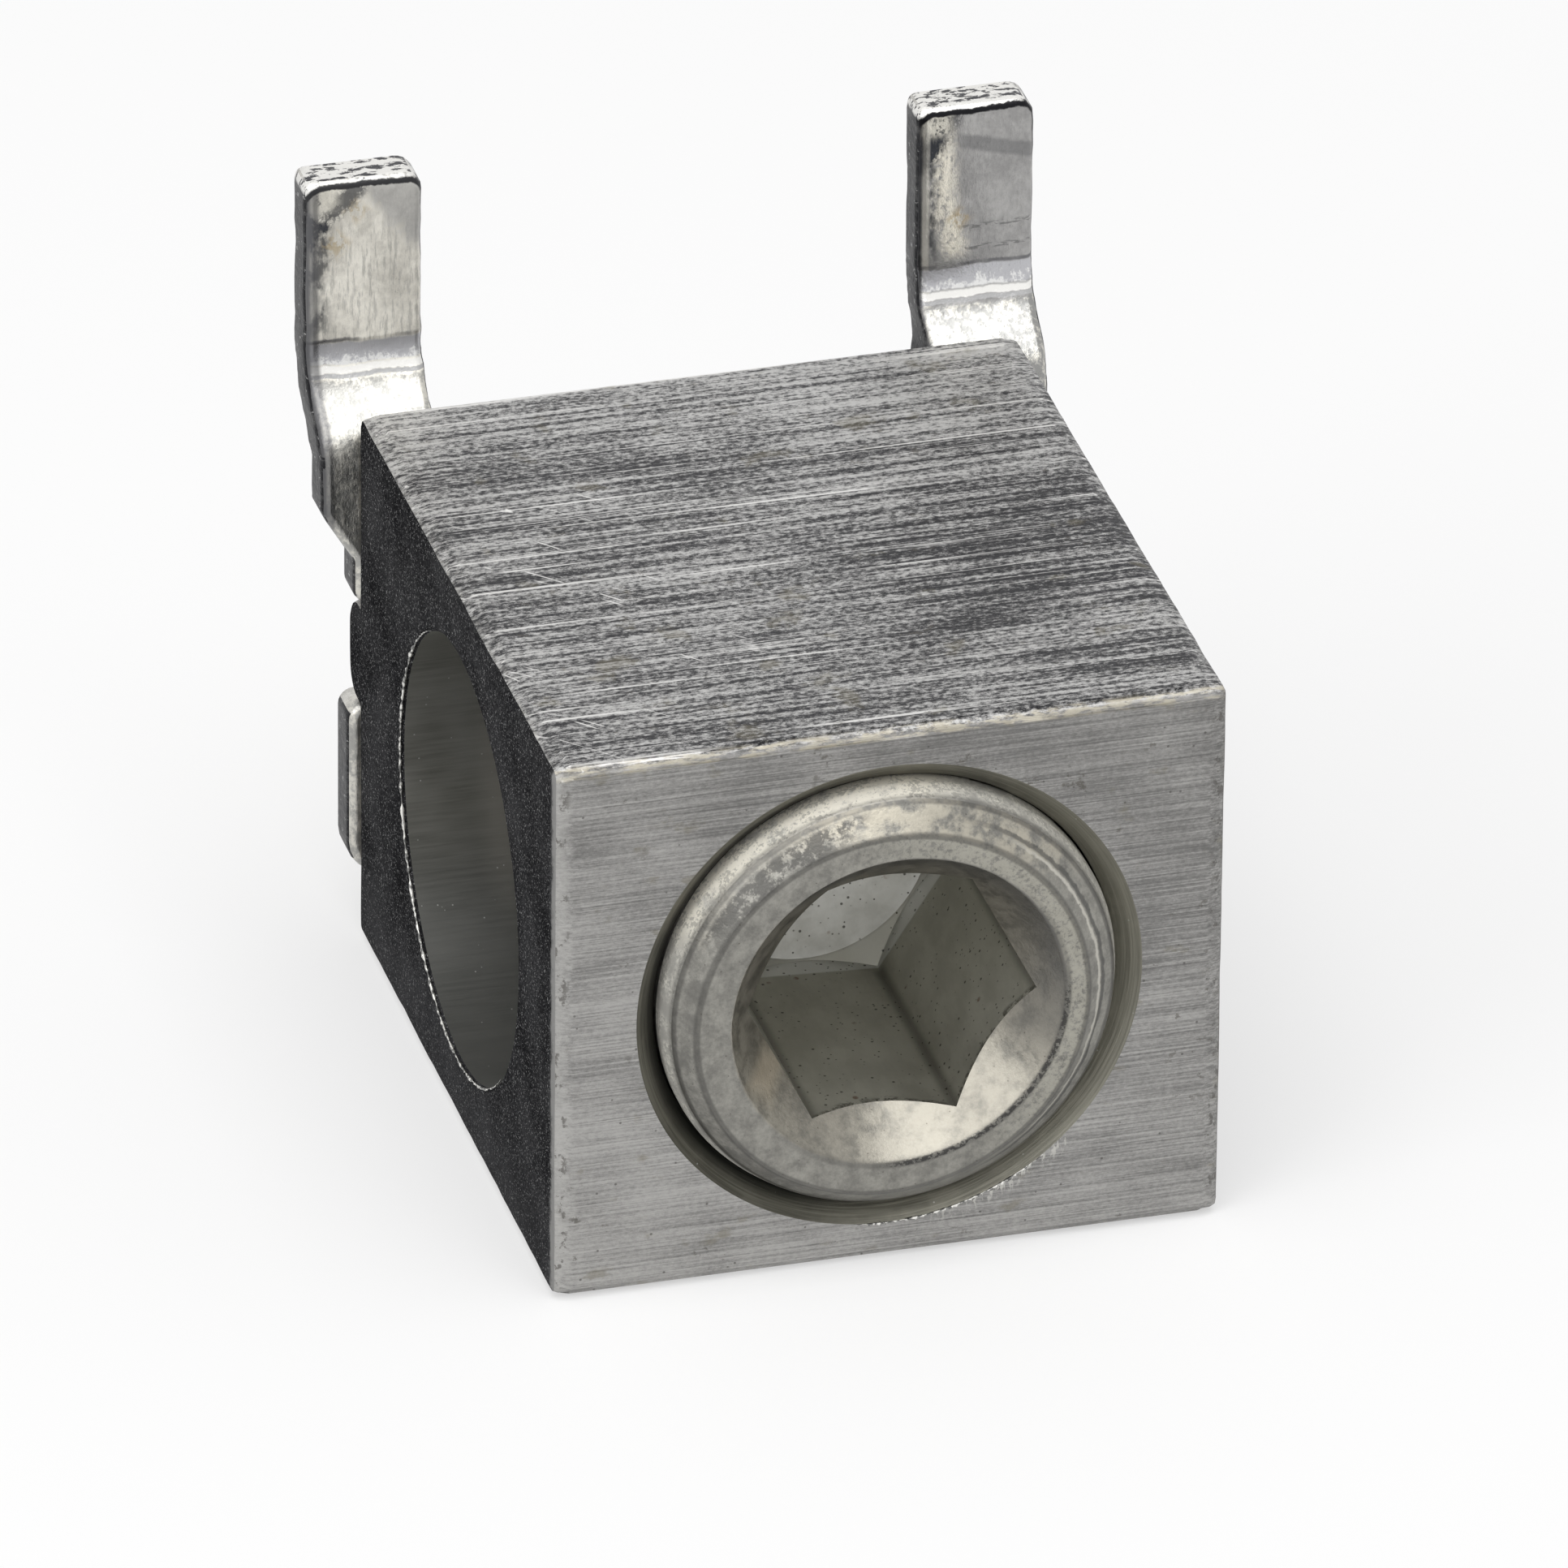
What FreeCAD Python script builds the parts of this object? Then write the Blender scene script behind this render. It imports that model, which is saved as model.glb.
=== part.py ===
# A set-screw lug for one stranded cable, with a two-tang terminal strap keyed to its back.
#
# Millimetres. The origin is the middle of the body's bottom face. +Z is up, along the tangs.
# The cable passes along X, and the set screw is driven from the -Y side towards +Y.
import FreeCAD, Part
import math
import os

# Body: a length of aluminium extrusion, sawn off square
BODY_LENGTH = 25.4
BODY_DEPTH = 28.4
BODY_HEIGHT = 22.2
BODY_EDGE_RADIUS = 0.4

# Wire bore, right through the body along X at mid height
BORE_RADIUS = 8.5
WALL_BEHIND_BORE = 6.2

# Rib on the body's back, milled away in the middle so that its two ends key the strap.
# It stands out as far as the strap is thick, so that both end in one plane.
RIB_BOTTOM = 9.7
RIB_HEIGHT = 4.2
RIB_EDGE_RADIUS = 1.2

# Thread of the set screw, 16 to the inch, drawn as plain cylinders at its major radius
THREAD_PITCH = 1.5875
HOLE_RADIUS = 8.73
THREAD_CLEARANCE = 0.07
HOLE_MOUTH_WIDENING = 0.87
PITCHES_INWARD = 2
HOLE_RUN_OUT = 0.6

# Set screw
SCREW_LENGTH = 15.875
SCREW_STANDS_PROUD = 1.3
END_FACE_RADIUS = 7.42
END_BEVEL_WIDTH = 0.98
END_BEVEL_DEPTH = 0.85
LEAD_CONE_LENGTH = 1.4
TIP_BEVEL = 1.4

# Key socket in the set screw, pressed in over a pilot hole by a punch with a bevelled nose
KEY_ACROSS_FLATS = 9.525
KEY_TURN_DEG = -3.0
KEY_DEPTH = 11.77
NOSE_LENGTH = 0.9
SOCKET_MOUTH_RADIUS = 6.37
SOCKET_MOUTH_ANGLE_DEG = 82.0
PILOT_GAP = 0.06
PILOT_POINT_DEPTH = 0.8

# Terminal strap: sheet copper, blanked, then set back in a joggle above the body
STRAP_THICKNESS = 1.6
STRAP_BOTTOM = 2.3
STRAP_TOP = 30.6
FOOT_WIDTH = 26.2
FOOT_CORNER_RADIUS = 1.5
NECK_WIDTH = 18.0
SHOULDER_WIDTH = 25.7
SHOULDER_RISE = 1.9
SPLAY_RISE = 2.1
TANG_WIDTH = 4.6
TANG_SPAN = 28.25
TANG_CORNER_RADIUS = 0.9
CROTCH_HEIGHT = 19.5
CROTCH_RADIUS = 2.0
SHEARED_CORNER_RADIUS = 0.6
KEY_FIT_CLEARANCE = 0.05

# Joggle of the tangs
JOGGLE_OFFSET = 2.5
JOGGLE_TOP = 23.9
JOGGLE_ANGLE_DEG = 50.0
UPPER_BEND_RADIUS = 2.6
LOWER_BEND_RADIUS = 0.5

# Places that follow from the sizes above
front_face_y = -BODY_DEPTH / 2
back_face_y = BODY_DEPTH / 2
bore_y = back_face_y - WALL_BEHIND_BORE - BORE_RADIUS
axis_z = BODY_HEIGHT / 2
screw_end_y = front_face_y - SCREW_STANDS_PROUD
screw_tip_y = screw_end_y + SCREW_LENGTH
hole_end_y = screw_tip_y + PITCHES_INWARD * THREAD_PITCH + HOLE_RUN_OUT

along_x = FreeCAD.Vector(1, 0, 0)
along_y = FreeCAD.Vector(0, 1, 0)


def in_yz(y, z, x=0.0):
    return FreeCAD.Vector(x, y, z)


def in_xz(x, z, y=0.0):
    return FreeCAD.Vector(x, y, z)


def rounded_face(corners):
    """Face inside a closed run of (point, radius) corners, each corner rounded to its radius."""
    edges = []
    ends = []
    for index, (corner, radius) in enumerate(corners):
        before = corners[index - 1][0]
        after = corners[(index + 1) % len(corners)][0]
        inward = (before - corner).normalize()
        outward = (after - corner).normalize()
        if radius == 0:
            ends.append((corner, corner))
            continue
        half_angle = inward.getAngle(outward) / 2
        reach = radius / math.tan(half_angle)
        bisector = (inward + outward).normalize()
        centre = corner + bisector * (radius / math.sin(half_angle))
        start = corner + inward * reach
        finish = corner + outward * reach
        middle = centre - bisector * radius
        edges.append(Part.Arc(start, middle, finish).toShape())
        ends.append((start, finish))
    for index, (start, _) in enumerate(ends):
        previous_finish = ends[index - 1][1]
        edges.append(Part.LineSegment(previous_finish, start).toShape())
    return Part.Face(Part.Wire(Part.__sortEdges__(edges)))


def extrusion_profile():
    """Section of the body: a block with slightly rounded edges and a rounded rib on its back."""
    edge = BODY_EDGE_RADIUS
    rib_top = RIB_BOTTOM + RIB_HEIGHT
    rib_back_y = back_face_y + STRAP_THICKNESS
    return rounded_face([
        (in_yz(front_face_y, 0), edge),
        (in_yz(back_face_y, 0), edge),
        (in_yz(back_face_y, RIB_BOTTOM), 0),
        (in_yz(rib_back_y, RIB_BOTTOM), RIB_EDGE_RADIUS),
        (in_yz(rib_back_y, rib_top), RIB_EDGE_RADIUS),
        (in_yz(back_face_y, rib_top), 0),
        (in_yz(back_face_y, BODY_HEIGHT), edge),
        (in_yz(front_face_y, BODY_HEIGHT), edge),
    ])


def wire_bore():
    start = in_yz(bore_y, axis_z, -BODY_LENGTH)
    return Part.makeCylinder(BORE_RADIUS, 2 * BODY_LENGTH, start, along_x)


def tapped_hole():
    """Hole for the set screw, from the front face past the middle of the bore, widened at its mouth."""
    mouth = in_yz(front_face_y, axis_z)
    hole = Part.makeCylinder(HOLE_RADIUS, hole_end_y - front_face_y, mouth, along_y)
    mouth_radius = HOLE_RADIUS + HOLE_MOUTH_WIDENING
    widening = Part.makeCone(mouth_radius, HOLE_RADIUS, HOLE_MOUTH_WIDENING, mouth, along_y)
    return hole.fuse(widening)


def rib_gap():
    """The middle of the rib, cut away for the neck of the strap."""
    width = NECK_WIDTH + 2 * KEY_FIT_CLEARANCE
    corner = in_yz(back_face_y, RIB_BOTTOM, -width / 2)
    return Part.makeBox(width, STRAP_THICKNESS, RIB_HEIGHT, corner)


def lug_body():
    block = extrusion_profile()
    block.translate(FreeCAD.Vector(-BODY_LENGTH / 2, 0, 0))
    block = block.extrude(along_x * BODY_LENGTH)
    return block.cut([wire_bore(), tapped_hole(), rib_gap()])


def turned(outline):
    """Solid turned about the screw's axis from an outline of (radius, y) points."""
    points = [in_xz(radius, axis_z, y) for radius, y in outline]
    section = Part.Face(Part.makePolygon(points + points[:1]))
    return section.revolve(in_xz(0, axis_z), along_y, 360)


def screw_blank():
    """Turned blank of the set screw: a bevel and a steep lead cone at the driven end, a bevelled tip."""
    shoulder_y = screw_end_y + END_BEVEL_DEPTH
    crest_radius = HOLE_RADIUS - THREAD_CLEARANCE
    shoulder_radius = END_FACE_RADIUS + END_BEVEL_WIDTH
    return turned([
        (0, screw_end_y),
        (END_FACE_RADIUS, screw_end_y),
        (shoulder_radius, shoulder_y),
        (crest_radius, shoulder_y + LEAD_CONE_LENGTH),
        (crest_radius, screw_tip_y - TIP_BEVEL),
        (crest_radius - TIP_BEVEL, screw_tip_y),
        (0, screw_tip_y),
    ])


def key_socket():
    """Hexagon for the key, with a countersunk mouth, a bevelled nose and the pilot hole's point."""
    corner_radius = KEY_ACROSS_FLATS / math.sqrt(3)
    pilot_radius = KEY_ACROSS_FLATS / 2 - PILOT_GAP
    bevel = corner_radius - pilot_radius
    nose_y = screw_end_y + KEY_DEPTH
    point_y = nose_y + NOSE_LENGTH + PILOT_POINT_DEPTH
    corners = []
    for corner in range(6):
        angle = math.radians(KEY_TURN_DEG + 60 * corner)
        x = corner_radius * math.cos(angle)
        z = axis_z + corner_radius * math.sin(angle)
        corners.append(in_xz(x, z, screw_end_y))
    hexagon = Part.Face(Part.makePolygon(corners + corners[:1]))
    hexagon = hexagon.extrude(along_y * (point_y - screw_end_y))
    punch = turned([
        (0, screw_end_y),
        (corner_radius + bevel, screw_end_y),
        (corner_radius + bevel, nose_y - NOSE_LENGTH),
        (pilot_radius, nose_y + NOSE_LENGTH),
        (0, point_y),
    ])
    mouth_slope = math.tan(math.radians(SOCKET_MOUTH_ANGLE_DEG / 2))
    mouth_depth = (SOCKET_MOUTH_RADIUS - pilot_radius) / mouth_slope
    end = in_xz(0, axis_z, screw_end_y)
    mouth = Part.makeCone(SOCKET_MOUTH_RADIUS, pilot_radius, mouth_depth, end, along_y)
    return [hexagon.common(punch), mouth]


def set_screw():
    return screw_blank().cut(key_socket())


def strap_blank():
    """Outline of the strap seen from the front: foot, notched neck, shoulders and two tangs."""
    notch_bottom = RIB_BOTTOM - KEY_FIT_CLEARANCE
    notch_top = RIB_BOTTOM + RIB_HEIGHT + KEY_FIT_CLEARANCE
    splay_bottom = notch_top + SHOULDER_RISE
    small = SHEARED_CORNER_RADIUS
    half = [
        (FOOT_WIDTH / 2, STRAP_BOTTOM, FOOT_CORNER_RADIUS),
        (FOOT_WIDTH / 2, notch_bottom, small),
        (NECK_WIDTH / 2, notch_bottom, 0),
        (NECK_WIDTH / 2, notch_top, 0),
        (SHOULDER_WIDTH / 2, notch_top, small),
        (SHOULDER_WIDTH / 2, splay_bottom, small),
        (TANG_SPAN / 2, splay_bottom + SPLAY_RISE, small),
        (TANG_SPAN / 2, STRAP_TOP, TANG_CORNER_RADIUS),
        (TANG_SPAN / 2 - TANG_WIDTH, STRAP_TOP, TANG_CORNER_RADIUS),
        (TANG_SPAN / 2 - TANG_WIDTH, CROTCH_HEIGHT, CROTCH_RADIUS),
    ]
    right = [(in_xz(x, z, back_face_y), radius) for x, z, radius in half]
    left = [(in_xz(-x, z, back_face_y), radius) for x, z, radius in reversed(half)]
    face = rounded_face(right + left)
    return face.extrude(along_y * (JOGGLE_OFFSET + STRAP_THICKNESS))


def bent_sheet():
    """Side section of the sheet: flat on the body's back, then set back by the joggle."""
    turn = math.radians(JOGGLE_ANGLE_DEG)
    bends = UPPER_BEND_RADIUS + LOWER_BEND_RADIUS + STRAP_THICKNESS
    slope_length = (JOGGLE_OFFSET - bends * (1 - math.cos(turn))) / math.sin(turn)
    joggle_bottom = JOGGLE_TOP - bends * math.sin(turn) - slope_length * math.cos(turn)
    front_y = back_face_y
    tang_y = back_face_y + JOGGLE_OFFSET
    lower_y = front_y + STRAP_THICKNESS + LOWER_BEND_RADIUS
    upper_y = tang_y - UPPER_BEND_RADIUS

    def lower(radius, angle):
        return in_yz(lower_y - radius * math.cos(angle), joggle_bottom + radius * math.sin(angle))

    def upper(radius, angle):
        return in_yz(upper_y + radius * math.cos(angle), JOGGLE_TOP - radius * math.sin(angle))

    def side(at_y, low_radius, high_radius):
        """Edges of one face of the sheet, from the foot to the top of the tangs."""
        foot = in_yz(at_y, STRAP_BOTTOM)
        top = in_yz(at_y + JOGGLE_OFFSET, STRAP_TOP)
        return [
            Part.LineSegment(foot, lower(low_radius, 0)).toShape(),
            Part.Arc(*[lower(low_radius, turn * share) for share in (0, 0.5, 1)]).toShape(),
            Part.LineSegment(lower(low_radius, turn), upper(high_radius, turn)).toShape(),
            Part.Arc(*[upper(high_radius, turn * share) for share in (1, 0.5, 0)]).toShape(),
            Part.LineSegment(upper(high_radius, 0), top).toShape(),
        ]

    front = side(front_y, LOWER_BEND_RADIUS + STRAP_THICKNESS, UPPER_BEND_RADIUS)
    back = side(front_y + STRAP_THICKNESS, LOWER_BEND_RADIUS, UPPER_BEND_RADIUS + STRAP_THICKNESS)
    ends = []
    for height, y in ((STRAP_BOTTOM, front_y), (STRAP_TOP, tang_y)):
        ends.append(Part.LineSegment(in_yz(y, height), in_yz(y + STRAP_THICKNESS, height)).toShape())
    section = Part.Face(Part.Wire(Part.__sortEdges__(front + back + ends)))
    section.translate(FreeCAD.Vector(-TANG_SPAN / 2, 0, 0))
    return section.extrude(along_x * TANG_SPAN)


def terminal_strap():
    return strap_blank().common(bent_sheet())


os.makedirs("parts", exist_ok=True)
pieces = {
    "lug_body": lug_body(),
    "set_screw": set_screw(),
    "terminal_strap": terminal_strap(),
}
for name, shape in pieces.items():
    solid = shape.removeSplitter().Solids[0]
    box = solid.BoundBox
    print(name, solid.isValid(), round(solid.Volume, 1), len(shape.Solids), box)
    solid.exportStep(f"parts/{name}.step")
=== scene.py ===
import math

import bmesh
import bpy
from mathutils import Matrix, Vector, noise


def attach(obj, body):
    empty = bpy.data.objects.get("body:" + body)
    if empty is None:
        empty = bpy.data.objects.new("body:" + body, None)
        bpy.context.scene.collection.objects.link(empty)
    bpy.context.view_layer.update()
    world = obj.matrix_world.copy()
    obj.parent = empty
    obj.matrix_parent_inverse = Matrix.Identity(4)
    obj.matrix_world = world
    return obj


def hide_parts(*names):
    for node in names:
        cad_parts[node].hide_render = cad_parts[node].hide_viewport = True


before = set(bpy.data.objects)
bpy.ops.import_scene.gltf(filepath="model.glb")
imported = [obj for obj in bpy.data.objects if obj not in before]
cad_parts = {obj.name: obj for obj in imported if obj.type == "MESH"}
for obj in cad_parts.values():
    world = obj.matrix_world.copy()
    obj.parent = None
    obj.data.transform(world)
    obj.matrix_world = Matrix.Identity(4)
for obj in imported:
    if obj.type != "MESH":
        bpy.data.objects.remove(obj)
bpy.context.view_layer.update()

# Lug body: a length of extruded aluminium with the wire bore along it, sawn off square at both
# ends. Its front is drilled, bevelled and tapped for the set screw, and the rib on its back is
# milled away between its two ends. Sizes are in millimetres, X along the bore and +Y to the back.
MM = 0.001
BODY_LENGTH = 25.4
FRONT_Y = -14.2
BACK_Y = 14.2
BODY_HEIGHT = 22.2
EXTRUDED_CORNER = 0.4
SAWN_EDGE = 0.26
RIB_BOTTOM = 9.7
RIB_TOP = 13.9
RIB_OUT = 1.6
RIB_CORNER = 1.2
RIB_GAP = 18.1
BORE_Y = -0.5
BORE_RADIUS = 8.5
BORE_BEVEL = 0.15
AXIS_Z = 11.1

# Spacing of its points, and the depth and the reach of the wear along its edges.
PROFILE_GAP = 0.25
FIRST_STATION = 0.7
STATION_GAP = 0.4
STATION_COUNT = 61
BORE_STEPS = 160
BORE_OVERRUN = 0.8
WEAR = 0.10
WORN_CORNER = 0.3
WORN_END = 0.4
WORN_FACE = 0.6


def grain(x, y, z, size):
    """Smooth random value from -1 to 1 at a place, in lumps of about that size."""
    return noise.noise(Vector((x, y, z)) / size)


def rounded(corners, steps=6):
    """Closed outline through (u, v, radius) corners, with an arc of that radius at each."""
    outline = []
    for index, (u, v, radius) in enumerate(corners):
        corner = Vector((u, v))
        to_last = (Vector(corners[index - 1][:2]) - corner).normalized()
        to_next = (Vector(corners[(index + 1) % len(corners)][:2]) - corner).normalized()
        if radius == 0:
            outline.append(corner)
            continue
        half_angle = to_last.angle(to_next) / 2
        centre = corner + (to_last + to_next).normalized() * radius / math.sin(half_angle)
        first = corner + to_last * radius / math.tan(half_angle) - centre
        last = corner + to_next * radius / math.tan(half_angle) - centre
        for step in range(steps + 1):
            across = first.lerp(last, 0.5)
            angle = first.angle(across) * (2 * step / steps - 1)
            side = (last - first).normalized()
            outline.append(centre + radius * (across.normalized() * math.cos(angle) + side * math.sin(angle)))
    return outline


def divided(outline, longest):
    """The same outline with its long straight runs divided."""
    points = []
    for index, point in enumerate(outline):
        after = outline[(index + 1) % len(outline)]
        parts = max(1, math.ceil((after - point).length / longest))
        points += [point.lerp(after, part / parts) for part in range(parts)]
    return points


def inset(outline, amount):
    """An outline that runs anticlockwise, moved inward point by point."""
    points = []
    for index, point in enumerate(outline):
        along = (outline[(index + 1) % len(outline)] - outline[index - 1]).normalized()
        points.append(point + Vector((-along.y, along.x)) * amount)
    return points


def skin(rings):
    """Points and faces of the skin through rings of equal length."""
    count = len(rings[0])
    points = [point for ring in rings for point in ring]
    faces = []
    for start in range(0, len(points) - count, count):
        for index in range(count):
            a = start + index
            b = start + (index + 1) % count
            faces.append((a, b, b + count, a + count))
    return points, faces


def closed(points, faces):
    """The same form with each open rim closed by a fan of faces about its middle."""
    bm = bmesh.new()
    verts = [bm.verts.new(point) for point in points]
    for face in faces:
        bm.faces.new([verts[corner] for corner in face])
    bmesh.ops.remove_doubles(bm, verts=bm.verts, dist=2e-4)
    bmesh.ops.dissolve_degenerate(bm, edges=bm.edges, dist=1e-4)
    rims = [edge for edge in bm.edges if edge.is_boundary]
    while rims:
        rim = [rims.pop()]
        reached = set(rim[0].verts)
        grown = True
        while grown:
            near = [edge for edge in rims if reached & set(edge.verts)]
            grown = bool(near)
            for edge in near:
                rims.remove(edge)
                rim.append(edge)
                reached |= set(edge.verts)
        middle = bm.verts.new(sum((vert.co for vert in reached), Vector()) / len(reached))
        for edge in rim:
            bm.faces.new((*edge.verts, middle))
    bmesh.ops.recalc_face_normals(bm, faces=bm.faces)
    bm.verts.index_update()
    new_faces = [tuple(vert.index for vert in face.verts) for face in bm.faces]
    new_points = [vert.co.copy() for vert in bm.verts]
    bm.free()
    return new_points, new_faces


def piece(name, points, faces):
    """An object from points in millimetres."""
    mesh = bpy.data.meshes.new(name)
    mesh.from_pydata([Vector(point) * MM for point in points], [], faces)
    made = bpy.data.objects.new(name, mesh)
    bpy.context.scene.collection.objects.link(made)
    return made


def apply_modifiers(made):
    graph = bpy.context.evaluated_depsgraph_get()
    made.data = bpy.data.meshes.new_from_object(made.evaluated_get(graph))
    made.modifiers.clear()


def cut_out(made, cutter):
    step = made.modifiers.new("cut", "BOOLEAN")
    step.operation = "DIFFERENCE"
    step.solver = "MANIFOLD"
    step.object = cutter
    apply_modifiers(made)
    bpy.data.objects.remove(cutter)


def smooth(made, crease=34):
    """Smooth shading, sharp at the creases, with normals that keep flat faces flat."""
    bm = bmesh.new()
    bm.from_mesh(made.data)
    for face in bm.faces:
        face.smooth = True
    for edge in bm.edges:
        edge.smooth = edge.calc_face_angle(math.pi) < math.radians(crease)
    bm.to_mesh(made.data)
    bm.free()
    step = made.modifiers.new("weighted", "WEIGHTED_NORMAL")
    step.keep_sharp = True
    apply_modifiers(made)


def bore_ring(radius, x):
    """Ring of points about the bore's axis at x."""
    turns = [2 * math.pi * step / BORE_STEPS for step in range(BORE_STEPS)]
    return [(x, BORE_Y + radius * math.cos(turn), AXIS_Z + radius * math.sin(turn)) for turn in turns]


body_profile = divided(rounded([
    (FRONT_Y, 0, EXTRUDED_CORNER),
    (BACK_Y, 0, EXTRUDED_CORNER),
    (BACK_Y, RIB_BOTTOM, 0),
    (BACK_Y + RIB_OUT, RIB_BOTTOM, RIB_CORNER),
    (BACK_Y + RIB_OUT, RIB_TOP, RIB_CORNER),
    (BACK_Y, RIB_TOP, 0),
    (BACK_Y, BODY_HEIGHT, EXTRUDED_CORNER),
    (FRONT_Y, BODY_HEIGHT, EXTRUDED_CORNER),
]), PROFILE_GAP)
half_length = BODY_LENGTH / 2
edge_steps = [(0, SAWN_EDGE), (0.3 * SAWN_EDGE, 0.3 * SAWN_EDGE), (SAWN_EDGE, 0)]
stations = [(-half_length + along, inward) for along, inward in edge_steps]
stations += [(-half_length + FIRST_STATION + STATION_GAP * step, 0) for step in range(STATION_COUNT)]
stations += [(half_length - along, inward) for along, inward in reversed(edge_steps)]
body_rings = []
for x, inward in stations:
    ring = []
    for y, z in inset(body_profile, inward):
        across = min(abs(y - FRONT_Y), abs(y - BACK_Y))
        on_corner = max(across, min(z, BODY_HEIGHT - z)) < WORN_CORNER
        if inward or on_corner or abs(x) > half_length - WORN_END:
            worn = WEAR + 0.06 * grain(x, y, z, 2.3) + 0.04 * grain(x, y, z, 0.9)
            if abs(y) > BACK_Y - WORN_FACE:
                y -= math.copysign(worn, y)
            if abs(z - AXIS_Z) > AXIS_Z - WORN_FACE:
                z -= math.copysign(worn, z - AXIS_Z)
        ring.append((x, y, z))
    body_rings.append(ring)
lug_body = piece("extruded_lug_body", *closed(*skin(body_rings)))

bore_cutter = piece("bore_cutter", *closed(*skin([
    bore_ring(BORE_RADIUS + BORE_BEVEL + BORE_OVERRUN, -half_length - BORE_OVERRUN),
    bore_ring(BORE_RADIUS, -half_length + BORE_BEVEL),
    bore_ring(BORE_RADIUS, half_length - BORE_BEVEL),
    bore_ring(BORE_RADIUS + BORE_BEVEL + BORE_OVERRUN, half_length + BORE_OVERRUN),
])))
milled_y = BACK_Y - 0.02
past_rib_y = BACK_Y + 2
below_rib = RIB_BOTTOM - 0.2
above_rib = RIB_TOP + 0.2
gap_ends = [[
    (x, milled_y, below_rib),
    (x, past_rib_y, below_rib),
    (x, past_rib_y, above_rib),
    (x, milled_y, above_rib),
] for x in (-RIB_GAP / 2, RIB_GAP / 2)]
rib_cutter = piece("rib_cutter", *closed(*skin(gap_ends)))

# The tapped hole: bevelled at its mouth, then plain for the screw's lead, then threaded, 16 to
# the inch and right-hand.
PITCH = 1.5875
TURN_DEGREES = -3
THREAD_TURN = math.radians(TURN_DEGREES)
FIRST_GROOVE_Y = -13.48
STEPS = 192
HOLE_RADIUS = 8.73
HOLE_MINOR = 7.87
HOLE_CREST_HALF = 0.109
HOLE_ROOT_HALF = 0.188
HOLE_MOUTH_RADIUS = 9.6
HOLE_THREAD_Y = -9.2
HOLE_END_Y = 4.15
HOLE_OVERRUN = 0.5
RUN_IN_SLOPE = 2
NO_FADE = (-99, -98)
THREAD_COLUMNS = [
    -0.5, -0.45, -0.41, -0.34, -0.26, -0.18, -0.125, -0.06, 0,
    0.06, 0.125, 0.18, 0.26, 0.34, 0.41, 0.45, 0.5,
]


def thread_radius(y, clockwise, crest, root, crest_half, root_half, fade=NO_FADE):
    """Radius of a right-hand thread at a place along it. Its grooves deepen over the fade."""
    groove = FIRST_GROOVE_Y + PITCH * clockwise / (2 * math.pi)
    groove += PITCH * round((y - groove) / PITCH)
    flank = (abs(y - groove) - root_half) / (PITCH / 2 - crest_half - root_half)
    cut = min(max((groove - fade[0]) / (fade[1] - fade[0]), 0), 1)
    return crest - (crest - root) * (1 - min(max(flank, 0), 1)) * cut


def threaded_skin(y_from, y_to, radius_at):
    """Points and faces of a threaded skin whose rows of faces follow the helix."""
    first = math.floor((y_from - FIRST_GROOVE_Y) / PITCH) - 1
    last = math.ceil((y_to - FIRST_GROOVE_Y) / PITCH) + 1
    points = []
    faces = []
    count = len(THREAD_COLUMNS)
    for step in range(first * STEPS, last * STEPS + 1):
        clockwise = 2 * math.pi * step / STEPS
        angle = THREAD_TURN - clockwise
        for column in THREAD_COLUMNS:
            y = FIRST_GROOVE_Y + PITCH * clockwise / (2 * math.pi) + column * PITCH
            y = min(max(y, y_from), y_to)
            radius = radius_at(y, clockwise)
            points.append((radius * math.cos(angle), y, AXIS_Z + radius * math.sin(angle)))
    for start in range(0, len(points) - count, count):
        for corner in range(start, start + count - 1):
            corners = (corner, corner + 1, corner + count + 1, corner + count)
            if len({points[index][1] for index in corners}) > 1:
                faces.append(corners)
    return points, faces


def hole_radius(y, clockwise):
    """Radius of the hole: the widest of its bevel, its plain start and its thread."""
    thread = thread_radius(y, clockwise, HOLE_RADIUS, HOLE_MINOR, HOLE_CREST_HALF, HOLE_ROOT_HALF)
    plain = HOLE_RADIUS if y < HOLE_THREAD_Y else HOLE_RADIUS - RUN_IN_SLOPE * (y - HOLE_THREAD_Y)
    bevel = HOLE_MOUTH_RADIUS - (y - FRONT_Y)
    return max(thread, plain, bevel)


hole_skin = threaded_skin(FRONT_Y - HOLE_OVERRUN, HOLE_END_Y, hole_radius)
hole_cutter = piece("hole_cutter", *closed(*hole_skin))
for cutter in (bore_cutter, rib_cutter, hole_cutter):
    cut_out(lug_body, cutter)
smooth(lug_body)


class Socket:
    """An output of a node in a finish, so that the finish's maths reads as plain Python."""

    def __init__(self, tree, output):
        self.tree = tree
        self.output = output

    def node(self, kind, settings, inputs, output=0):
        """Adds a node of any type: first its settings, then the values or links of its sockets."""
        made = self.tree.nodes.new("ShaderNode" + kind)
        for name, value in settings.items():
            setattr(made, name, value)
        for name, value in inputs.items():
            if isinstance(value, Socket):
                self.tree.links.new(value.output, made.inputs[name])
            else:
                made.inputs[name].default_value = value
        return Socket(self.tree, made.outputs[output])

    def math(self, operation, first, second=0.0):
        return self.node("Math", {"operation": operation}, {0: first, 1: second})

    def __add__(self, other):
        return self.math("ADD", self, other)

    def __radd__(self, other):
        return self.math("ADD", other, self)

    def __sub__(self, other):
        return self.math("SUBTRACT", self, other)

    def __rsub__(self, other):
        return self.math("SUBTRACT", other, self)

    def __mul__(self, other):
        return self.math("MULTIPLY", self, other)

    def __rmul__(self, other):
        return self.math("MULTIPLY", other, self)

    def __abs__(self):
        return self.math("ABSOLUTE", self)


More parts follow.
